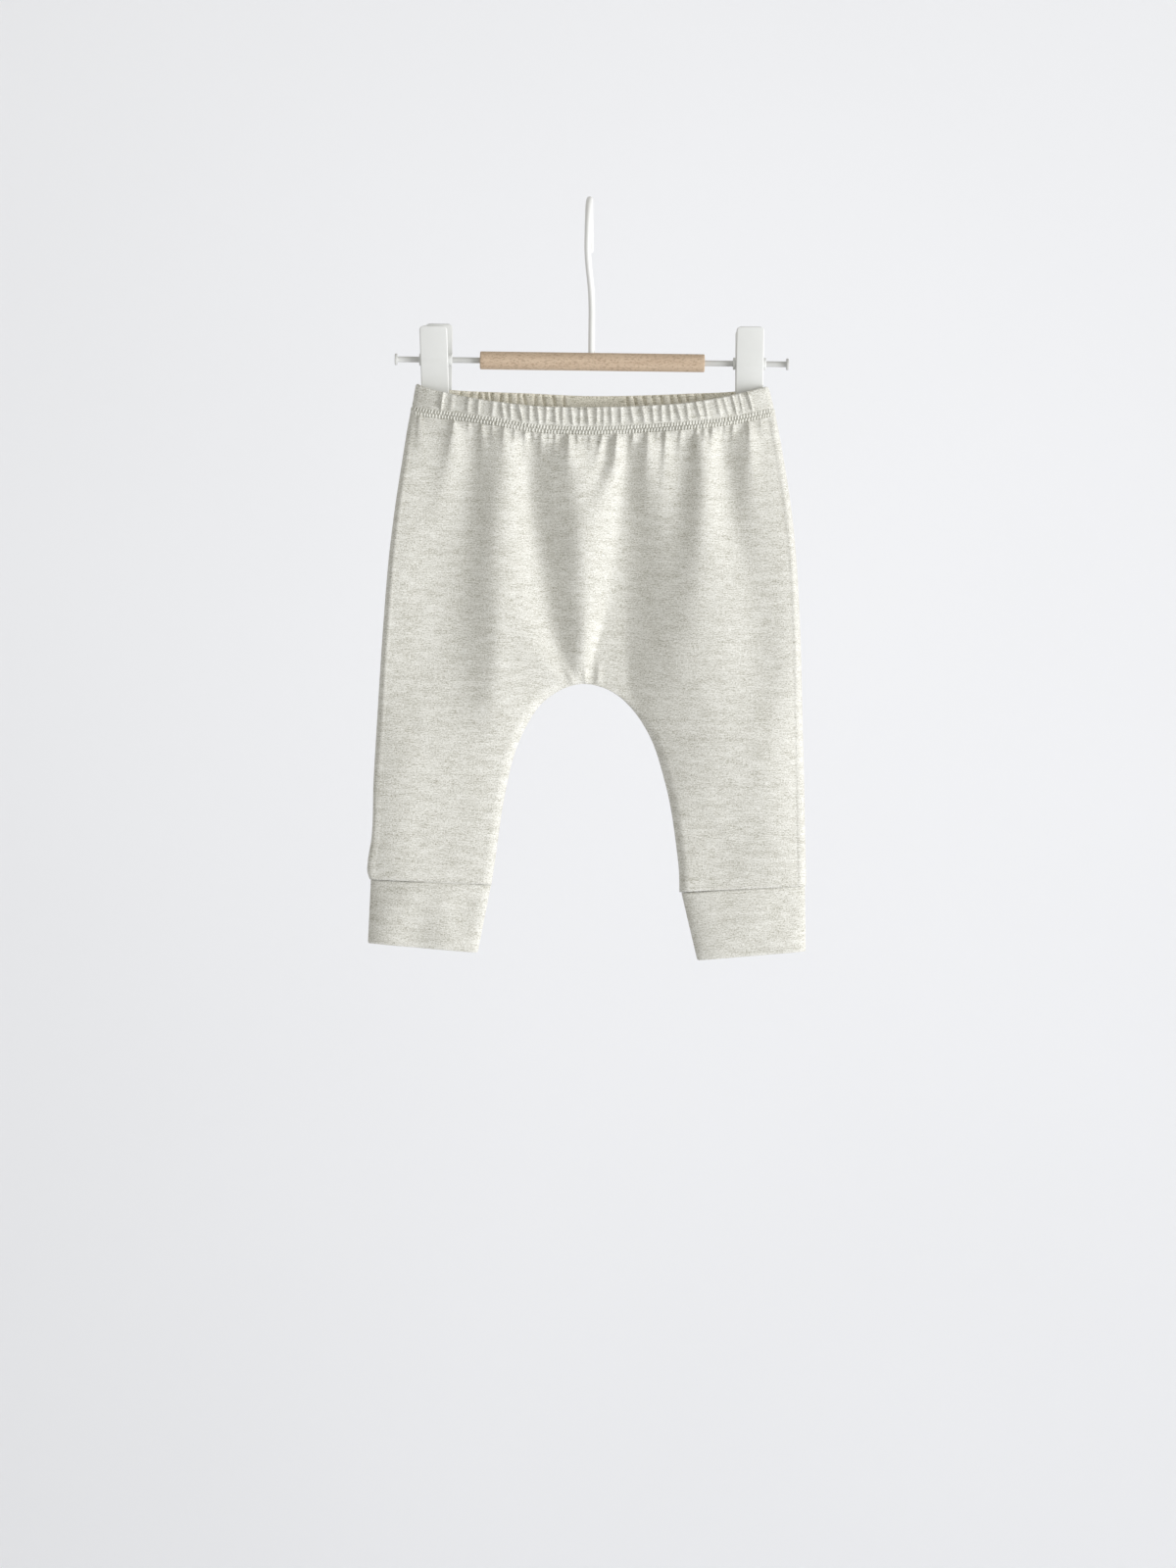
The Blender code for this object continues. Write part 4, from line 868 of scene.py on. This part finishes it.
stitch = {
    "pitch": 1.72 * mm,
    "length": 2.25 * mm,
    "thread": 0.42 * mm,  # radius
    "slant": 0.16,  # share of the length that a stroke leans by
    "rows": (0.75 * mm, -1.5 * mm),  # each row's middle above the seam
    "lift": 0.25 * mm,
    "loop": 0.425,  # length of the rows round the band
    "sides": 6,
    "hole": (0.7 * mm, 0.32 * mm),  # length and radius of the painted shade in a needle's hole: a dark capsule where the hole lies in shade
}


def clothAt(place, up):
    # Points and normals on the outside of the cloth, up metres above the band's seam, at a share of the
    # way round. Near the seam and below it they lie on the panels, where those stand further out.
    rise = max(up, -0.5 * mm) / band["tall"]
    relief = (bandRelief(rise, False) - band["sunk"] * band["height"]) * ridgeShare(rise)
    points, normals = bandSurface(rise, stitchedIn(rise), relief)
    seam = np.where(bandFront < 0, bandHeight("frontSeam", bandX), bandHeight("backSeam", bandX))
    points[:, 2] = seam + up
    if up < 0.4 * mm:
        depth = np.where(bandFront < 0, panelDepth(points[:, 0], points[:, 2], -1),
                         panelDepth(points[:, 0], points[:, 2], 1))
        facing = np.abs(normals[:, 1]) > 0.8
        low = hang["seamPlaneY"] + bandFront * depth
        points[:, 1] = np.where(facing & (bandFront * (low - points[:, 1]) > 0), low, points[:, 1])
    index = place * bandCount
    near = np.floor(index).astype(int) % bandCount
    far = (near + 1) % bandCount
    part = (index - np.floor(index))[:, None]
    normal = normals[near] * (1 - part) + normals[far] * part
    normal /= np.linalg.norm(normal, axis=1, keepdims=True)
    return points[near] * (1 - part) + points[far] * part, normal


def makeStrokes(name, middles, length, thread, lift, used):
    # Short capsules in rows round the band: a ring of points round each of seven stations along a
    # stroke, which arches over the cloth as half a cosine. Each row has its middle above the seam and
    # its shift in strokes.
    count = int(stitch["loop"] / stitch["pitch"])
    stations = np.array([-1, -0.86, -0.45, 0, 0.45, 0.86, 1]) / 2
    fat = np.array([0.15, 0.75, 1, 1.05, 1, 0.75, 0.15])
    angle = np.arange(stitch["sides"]) * 2 * math.pi / stitch["sides"]
    points, faces, first = [], [], 0
    for row, (middleUp, shift) in enumerate(middles):
        rng = np.random.default_rng(31 + row)
        place = (np.arange(count) + 0.5 * row + shift + rng.normal(0, 0.08, count)) / count
        lean = stitch["slant"] * length / stitch["loop"]
        rings = []
        for station, share in zip(stations, fat):
            spot, normal = clothAt((place + lean * station) % 1, middleUp + station * length)
            across = np.cross(normal, (0, 0, 1))
            arch, radius = lift * math.cos(math.pi * station), thread * share
            outwards = normal[:, None, :] * (arch + radius * np.sin(angle)[None, :, None])
            sideways = across[:, None, :] * (radius * np.cos(angle)[None, :, None])
            rings.append(spot[:, None, :] + outwards + sideways)
        block = np.stack(rings, axis=1)  # stroke, station, side
        ids = first + np.arange(block.size // 3).reshape(block.shape[:3])
        around = np.concatenate([ids, ids[:, :, :1]], axis=2)
        lower, upper = around[:, :-1], around[:, 1:]
        quads = np.stack([lower[..., :-1], lower[..., 1:], upper[..., 1:], upper[..., :-1]], axis=3)
        faces.append(quads.reshape(-1, 4))
        for end in (0, -1):
            cap = ids[:, end]
            faces += [cap[:, [0, 1, 2, 3]], cap[:, [0, 3, 4, 5]]]
        points.append(block.reshape(-1, 3))
        first += block.size // 3
    points = np.vstack(points)
    makeMesh(name, points, faces, points[:, [0, 2]], used, "band_jersey", None, 0)


def makeStitches():
    # Two rows of strokes, and dark capsules of painted shade for the needle holes at their lower ends.
    high, low = stitch["rows"]
    length, reach = stitch["length"], stitch["length"] / 2 + 0.1 * mm
    middles = [(high, 0), (low, 0)]
    makeStrokes("coverstitch", middles, length, stitch["thread"], stitch["lift"], stitchThread)
    middles = [(high - reach, -0.3), (low - reach, -0.3)]
    makeStrokes("paintedNeedleHoleShade", middles, *stitch["hole"], 0.05 * mm, paintedNeedleShade)


makeStitches()
print("coverstitch made")


cuffs = {
    "wall": 2.0 * mm,
    "halfDepth": 6.4 * mm,
    "tall": 39 * mm,
    "square": 2.5,  # 2 would make its outline an ellipse
    "around": 180,
    "fold": 0.028,  # share of the height in which the hem turns in
    "wave": 0.75 * mm,
    "closing": {"left": 0.10 * mm, "right": 0.125 * mm},  # of the gap to the leg, on average
    "left": {"top": ((-122.9, -397.2), (-52.6, -400.0)), "hem": ((-124.2, -434.8), (-59.9, -439.6))},
    "right": {"top": ((131.0, -397.8), (58.8, -403.0)), "hem": ((132.0, -436.2), (68.6, -442.4))},
}


def makeCuff(side, seed):
    # Superellipses from the leg's seam down to the folded hem, then up the inside.
    corners = np.array([*cuffs[side]["top"], *cuffs[side]["hem"]]) * mm
    angle = np.arange(cuffs["around"]) * 2 * math.pi / cuffs["around"]
    power = 2 / cuffs["square"]
    wide = np.sign(np.cos(angle)) * np.abs(np.cos(angle)) ** power
    deep = np.sign(np.sin(angle)) * np.abs(np.sin(angle)) ** power
    wall, fold = cuffs["wall"], cuffs["fold"]
    down = np.linspace(0, 1 - fold, 30)
    turn = np.linspace(0, math.pi, 9)[1:-1]
    outside = np.column_stack([down, 0.04 * wall * (1 - eased(down / 0.04))])
    hem = np.column_stack([1 - fold + fold * np.sin(turn), wall / 2 * (1 - np.cos(turn))])
    inside = np.column_stack([down[::-1], np.full(len(down), wall)])
    profile = np.vstack([outside, hem, inside])
    steps = np.diff(profile * (cuffs["tall"], 1), axis=0)
    v = np.append(0, np.cumsum(np.linalg.norm(steps, axis=1)))
    rings = []
    for drop, inset in profile:
        out = corners[0] + (corners[2] - corners[0]) * drop
        inner = corners[1] + (corners[3] - corners[1]) * drop
        centre, reach = (out + inner) / 2, (inner - out) / 2
        half = np.linalg.norm(reach)
        span = (half - inset) / half
        x, z = centre[0] + reach[0] * span * wide, centre[1] + reach[1] * span * wide
        wave = softNoise(x + 0.03 * np.sign(deep), z * 0.5, 30 * mm, seed) * cuffs["wave"]
        wave = wave * eased(drop / 0.2) * np.abs(deep)
        y = hang["seamPlaneY"] + (cuffs["halfDepth"] - inset) * deep + wave
        uneven = np.clip(softNoise(x, seed * mm, 26 * mm, seed + 2), -1, 1)
        z = z + cuffs["closing"][side] * (1 + uneven) * (1 - eased(drop / 0.08))
        rings.append(np.column_stack([x, y, z]))
    rings = np.array(rings)
    rows, around = rings.shape[:2]
    ids = np.arange(rows * around).reshape(rows, around)
    u = np.cumsum(np.append(0, np.linalg.norm(np.diff(rings[5], axis=0), axis=1)))
    uv = np.dstack([np.repeat(u[None], rows, axis=0) + seed, -np.repeat(v[:, None], around, axis=1)])
    name, node = "cuffCloth_" + side, "cuff_" + side
    piece = makeMesh(name, rings, [loopFaces(ids)], uv, cuffJersey, "cuff_jersey", node)


makeCuff("left", 41)
makeCuff("right", 42)
print("cuffs made")


wire = {
    "radius": 1.9 * mm,
    "sides": 28,
    "steps": 260,
    "blunt": 0.4 * mm,
    "pole": 0.0002,  # share of the radius that is left at each end, to be welded
}
# The middle of the hook's wire from its tip down to the grip, in mm.
hookPoints = [
    (0.6, 15.0, -27.0), (0.5, 17.2, -20.0), (0.3, 16.6, -10.5), (0.1, 12.0, -2.6), (0.0, 5.4, 1.1),
    (0.0, 0.0, 1.9), (-0.2, -6.2, 1.0), (-0.6, -12.9, -3.0), (-0.8, -17.2, -10.5), (-0.9, -18.0, -19.0),
    (-0.9, -15.6, -29.0), (-0.1, -9.8, -39.0), (0.9, -4.2, -46.5), (1.6, -0.9, -53.5), (1.9, 0.0, -60.0),
    (2.0, 0.0, -74.0), (2.1, 0.0, -90.3),
]


def tube(name, path, radii, sides, materialUsed, slot, node):
    # A ring of points round each station of the path, in two directions square to it.
    along = np.gradient(path, axis=0)
    along /= np.linalg.norm(along, axis=1, keepdims=True)
    aside = np.cross(along, (1, 0, 0))
    aside /= np.linalg.norm(aside, axis=1, keepdims=True)
    other = np.cross(along, aside)
    angle = np.arange(sides) * 2 * math.pi / sides
    cosine, sine = np.cos(angle)[None, :, None], np.sin(angle)[None, :, None]
    spoke = aside[:, None, :] * cosine + other[:, None, :] * sine
    rings = path[:, None, :] + radii[:, None, None] * spoke
    ids = np.arange(rings.shape[0] * sides).reshape(-1, sides)
    makeMesh(name, rings, [loopFaces(ids, False)], None, materialUsed, slot, node)


def makeHook():
    # Round at the tip: the radius grows as a quarter circle over its own length. The other end is blunt.
    path = evenRoute(np.array(hookPoints) * mm, wire["steps"])
    reach = np.append(0, np.cumsum(np.linalg.norm(np.diff(path, axis=0), axis=1)))
    radii = wire["radius"] * np.maximum(rounded(reach, wire["radius"]), wire["pole"])
    ends = np.maximum(rounded(reach[-1] - reach, wire["blunt"]), wire["pole"])
    tube("wireHook", path, radii * ends, wire["sides"], wirePaint, "white_wire", "hook")


def turned(name, profile, centre, sides, materialUsed, slot, node):
    # A profile of places along X and radii, turned about the rod's axis.
    angle = np.arange(sides) * 2 * math.pi / sides
    along, radius = profile[:, :1], profile[:, 1:]
    y, z = centre[1] + radius * np.cos(angle), centre[2] + radius * np.sin(angle)
    rings = np.stack(np.broadcast_arrays(centre[0] + along, y, z), axis=2)
    ids = np.arange(len(profile) * sides).reshape(-1, sides)
    makeMesh(name, rings, [loopFaces(ids, False)], None, materialUsed, slot, node)


rod = {
    "radius": 1.7 * mm,
    "length": 230.7 * mm,
    "x": 2.35 * mm,
    "z": -92.8 * mm,
    "head": 3.4 * mm,
    "headThick": 1.5 * mm,
    "headEdge": 0.35 * mm,
    "pole": 0.02 * mm,  # radius at the middle of each head
    "fillet": 0.25 * mm,
}
grip = {
    "radius": 5.25 * mm,
    "length": 131.5 * mm,
    "x": 2.65 * mm,
    "edge": 0.7 * mm,
    "bore": 1.9 * mm,
    "boreDepth": 3 * mm,  # that shows at each end
}


def roundedCorner(x, r, size, steps=6):
    # A quarter circle from the face at x to the side at r.
    turn = np.linspace(0, math.pi / 2, steps)[::-1]
    return np.column_stack([x - size * (1 - np.sin(turn)), r - size * (1 - np.cos(turn))])


def mirrored(profile):
    # The way back along the same profile on the other side of zero.
    return profile[::-1] * (-1, 1)


def makeRod():
    # From the middle of the right head round its edge to the rod, and the same mirrored.
    half, radius, head, fillet = rod["length"] / 2, rod["radius"], rod["head"], rod["fillet"]
    neck = half - rod["headThick"]
    right = np.vstack([
        (half, rod["pole"]),
        roundedCorner(half, head, rod["headEdge"]),
        (neck + 0.2 * mm, head),
        (neck, head - 0.2 * mm),
        (neck, radius + fillet),
        (neck - fillet, radius),
        (half - 8 * mm, radius),
    ])
    profile = np.vstack([right, mirrored(right)])
    turned("rodWithHeads", profile, (rod["x"], 0, rod["z"]), 40, rodPaint, "white_wire", "rod")


def makeGrip():
    # A turned dowel with eased ends and the start of the rod's bore.
    half, radius, edge, bore = grip["length"] / 2, grip["radius"], grip["edge"], grip["bore"]
    hole = [(half - grip["boreDepth"], bore), (half, bore), (half, bore + 0.01 * mm)]
    right = np.vstack([hole, roundedCorner(half, radius, edge, 7)])
    along = np.linspace(half - edge, -half + edge, 60)[1:-1]
    shaft = np.column_stack([along, np.full(len(along), radius)])
    profile = np.vstack([right, shaft, mirrored(right)])
    turned("beechGrip", profile, (grip["x"], 0, rod["z"]), 72, gripWood, "beech", "grip")


clip = {
    "width": 16.2 * mm,
    "thick": 2.2 * mm,
    "corner": 2.2 * mm,  # of the plate's top
    "foot": 0.8 * mm,  # the same at its lower end
    "edge": 0.75 * mm,
    "innerEdge": 0.25 * mm,
    "domed": 0.25 * mm,  # how far both ends stand out in the middle of their thickness
    "jawGap": 1.6 * mm,  # from the rod's plane to the inside of a plate at the jaws
    "pivotGap": 4.0 * mm,  # the same beside the rod
    "below": 29 * mm,  # length under the rod
    "flatFrom": 12 * mm,  # below the rod, where the plates start to part
    "barrel": 3.6 * mm,
    "barrelEdge": 0.5 * mm,
    "overhang": 1.6 * mm,
}
# In mm: how far each plate stands above the rod, how far it leans outwards there, and its shift from the
# clip's middle. Turn is how far it leans to the right for each mm that it rises.
clips = {
    "left": {"x": -89.0 * mm, "frontTop": 18.3, "frontLean": 5.6, "frontShift": -0.7, "frontTurn": -0.035,
             "backTop": 21.6, "backLean": 1.2, "backShift": 1.3, "backTurn": 0},
    "right": {"x": 94.7 * mm, "frontTop": 20.5, "frontLean": 3.6, "frontShift": 0, "frontTurn": 0,
              "backTop": 20.5, "backLean": 3.6, "backShift": 0, "backTurn": 0},
}


def plateSection():
    # Across a plate, from the middle of the outer face round to it: the outer corners are round, the
    # inner ones tight.
    edge, tight, thick, half = clip["edge"], clip["innerEdge"], clip["thick"], clip["width"] / 2
    arc = np.linspace(0, math.pi / 2, 7)
    outer = np.column_stack([half - edge + edge * np.sin(arc), thick - edge + edge * np.cos(arc)])
    arc = arc[::3]
    inner = np.column_stack([half - tight + tight * np.cos(arc), tight - tight * np.sin(arc)])
    section = np.vstack([outer, inner])
    return np.vstack([section, mirrored(section)])


def plateStations(top):
    # Heights up the plate from the rod, and how much narrower each side is there to round its corners.
    corner, foot, below = clip["corner"], clip["foot"], clip["below"]
    turn = np.linspace(0, math.pi / 2, 9)
    straight = np.linspace(-below + 2 * mm, top - corner - mm, 46)
    rounder, squarer = 1 - np.cos(turn), 1 - np.sin(turn)
    heights = np.concatenate([-below + foot * rounder, straight, top - corner * squarer])
    return heights, np.concatenate([foot * squarer, np.zeros(len(straight)), corner * rounder])


def makePlate(name, outwards, x, top, lean, turnedBy, node):
    # The section, carried up the plate. The plate stands off by the jaws' gap, opens towards the rod and
    # leans outwards above it, in proportion to the height.
    heights, narrow = plateStations(top)
    jaw, pivot = clip["jawGap"], clip["pivotGap"]
    opened = jaw + (pivot - jaw) * eased((heights + clip["flatFrom"]) / clip["flatFrom"])
    gap = np.where(heights <= 0, opened, pivot + lean * np.maximum(heights, 0) / top)
    section, half = plateSection(), clip["width"] / 2
    squeeze = (half - narrow) / half
    across = (x + turnedBy * heights)[:, None] + section[:, 0] * squeeze[:, None]
    deep = outwards * (gap[:, None] + section[:, 1])
    rings = np.stack([across, deep, np.broadcast_to((rod["z"] + heights)[:, None], deep.shape)], axis=2)

    # Both ends close: past them a ring of about half the thickness, and then a line in its middle. At the
    # top the last two rings come after those, so that the very end folds back over itself.
    def endRings(ring, way):
        middleY = (ring[:, 1].max() + ring[:, 1].min()) / 2
        closed = ring + (0, 0, way * clip["domed"])
        closed[:, 1] = middleY + (closed[:, 1] - middleY) * 0.55
        shut = closed.copy()
        shut[:, 1] = middleY
        return [closed, shut]

    low, high = endRings(rings[0], -1)[::-1], endRings(rings[-1], 1)
    rings = np.array([*low, *rings[:-2], *high, *rings[-2:]])
    rows, around = rings.shape[:2]
    ids = np.arange(rows * around).reshape(rows, around)
    faces = [loopFaces(ids, False)]
    for line in (ids[0], ids[-1]):
        there, back = line[:around // 2], line[::-1][:around // 2]
        faces.append(np.column_stack([there[:-1], there[1:], back[1:], back[:-1]]))
    makeMesh(name, rings, faces, None, platePaint, "white_plate", node)


def makeClips():
    # Two plates and a barrel, open at both ends for the rod.
    half, outer, bore = clip["width"] / 2 + clip["overhang"], clip["barrel"], rod["radius"] + 0.2 * mm
    corner = roundedCorner(half, outer, clip["barrelEdge"])
    right = np.vstack([(half - 1 * mm, bore), (half, bore), corner, (half - 2 * mm, outer)])
    profile = np.vstack([right, mirrored(right)])
    for side, made in clips.items():
        for face, outwards in (("front", -1), ("back", 1)):
            x = made["x"] + made[face + "Shift"] * mm
            top, lean, turnedBy = made[face + "Top"] * mm, made[face + "Lean"] * mm, made[face + "Turn"]
            name, node = "plate" + face.title() + "_" + side, "clip_" + face + "_" + side
            makePlate(name, outwards, x, top, lean, turnedBy, node)
        centre, node = (made["x"], 0, rod["z"]), "clip_barrel_" + side
        turned("barrel_" + side, profile, centre, 40, platePaint, "white_plate", node)


makeHook()
makeRod()
makeGrip()
makeClips()
print("hanger made")


room = {
    "wallY": 2.5,
    "wallTop": 3.5,
    "floorZ": -2.2,
    "floorFront": -6.0,
    "half": 6.0,
    "bend": 0.6,
    "colour": (0.86, 0.865, 0.895),
    "clouded": 0.975,  # the darkest part of that colour
}
lights = {
    "key": {"at": (2.90, -1.65, -0.85), "aim": (-0.3, -0.6, -0.10), "size": (1.3, 2.4), "power": 107,
            "colour": (0.975, 0.985, 1.0)},
    "wall": {"at": (0.0, 0.4, 0.2), "aim": (0.0, 2.5, 0.2), "size": (0.8, 0.8), "power": 8.6,
             "colour": (1.0, 1.0, 1.0)},
}
worldLight = {"colour": (0.99, 0.985, 0.935), "strength": 0.575}
view = {"lens": 85, "sensor": 36, "frameHeight": 0.9184, "x": -1.1 * mm, "z": -340.1 * mm}


def makeRoom():
    # A sheet that runs down the wall, turns through a quarter circle and comes forward as the floor.
    wallY, floorZ, bend = room["wallY"], room["floorZ"], room["bend"]
    turn = np.linspace(0, math.pi / 2, 24)
    corner = np.column_stack([wallY - bend * (1 - np.cos(turn)), floorZ + bend * (1 - np.sin(turn))])
    line = np.vstack([(wallY, room["wallTop"]), corner, (room["floorFront"], floorZ)])
    across = np.linspace(-room["half"], room["half"], 9)[None]
    points = np.stack(np.broadcast_arrays(across, line[:, :1], line[:, 1:]), axis=2)
    ids = np.arange(points.size // 3).reshape(points.shape[:2])
    mesh = bpy.data.meshes.new("backdrop")
    mesh.from_pydata(points.reshape(-1, 3).tolist(), [], gridFaces(ids).tolist())
    mesh.shade_smooth()
    made, tree, shader = newMaterial("paleWall")
    spot = tree.nodes.new("ShaderNodeTexCoord").outputs["Object"]
    cloud = noiseOf(tree, spot, (0.9, 0.9, 0.9), 2.0)
    low = tuple(part * room["clouded"] for part in room["colour"])
    tree.links.new(rampOf(tree, cloud, [(0.3, low), (0.7, room["colour"])]), shader.inputs["Base Color"])
    shader.inputs["Roughness"].default_value = 0.95
    shader.inputs["Specular IOR Level"].default_value = 0.1
    mesh.materials.append(made)
    backdrop = bpy.data.objects.new("backdrop", mesh)
    bpy.context.scene.collection.objects.link(backdrop)


def makeLights():
    # Flat lamps, each tipped up from straight down as far as its aim lies, then turned towards it.
    for name, made in lights.items():
        data = bpy.data.lights.new(name, "AREA")
        data.shape = "RECTANGLE"
        data.size, data.size_y = made["size"]
        data.energy = made["power"]
        data.color = made["colour"]
        lamp = bpy.data.objects.new(name, data)
        bpy.context.scene.collection.objects.link(lamp)
        way = np.array(made["aim"]) - np.array(made["at"])
        lamp.visible_camera = False
        lamp.location = made["at"]
        tipped = math.acos(-way[2] / np.linalg.norm(way))
        lamp.rotation_euler = (tipped, 0, math.atan2(way[1], way[0]) - math.pi / 2)
    world = bpy.data.worlds.new("softRoom")
    world.use_nodes = True
    sky = world.node_tree.nodes["Background"]
    sky.inputs["Color"].default_value = (*worldLight["colour"], 1)
    sky.inputs["Strength"].default_value = worldLight["strength"]
    bpy.context.scene.world = world


def makeCamera():
    # Straight on from the front, as far off as the lens needs for a frame of that height.
    data = bpy.data.cameras.new("camera")
    data.lens = view["lens"]
    data.sensor_width = view["sensor"]
    camera = bpy.data.objects.new("camera", data)
    bpy.context.scene.collection.objects.link(camera)
    camera.location = (view["x"], -view["frameHeight"] * view["lens"] / view["sensor"], view["z"])
    camera.rotation_euler = (math.pi / 2, 0, 0)
    bpy.context.scene.camera = camera
    bpy.context.scene.view_settings.view_transform = "Standard"


makeRoom()
makeLights()
makeCamera()
print("room, lights and camera made")
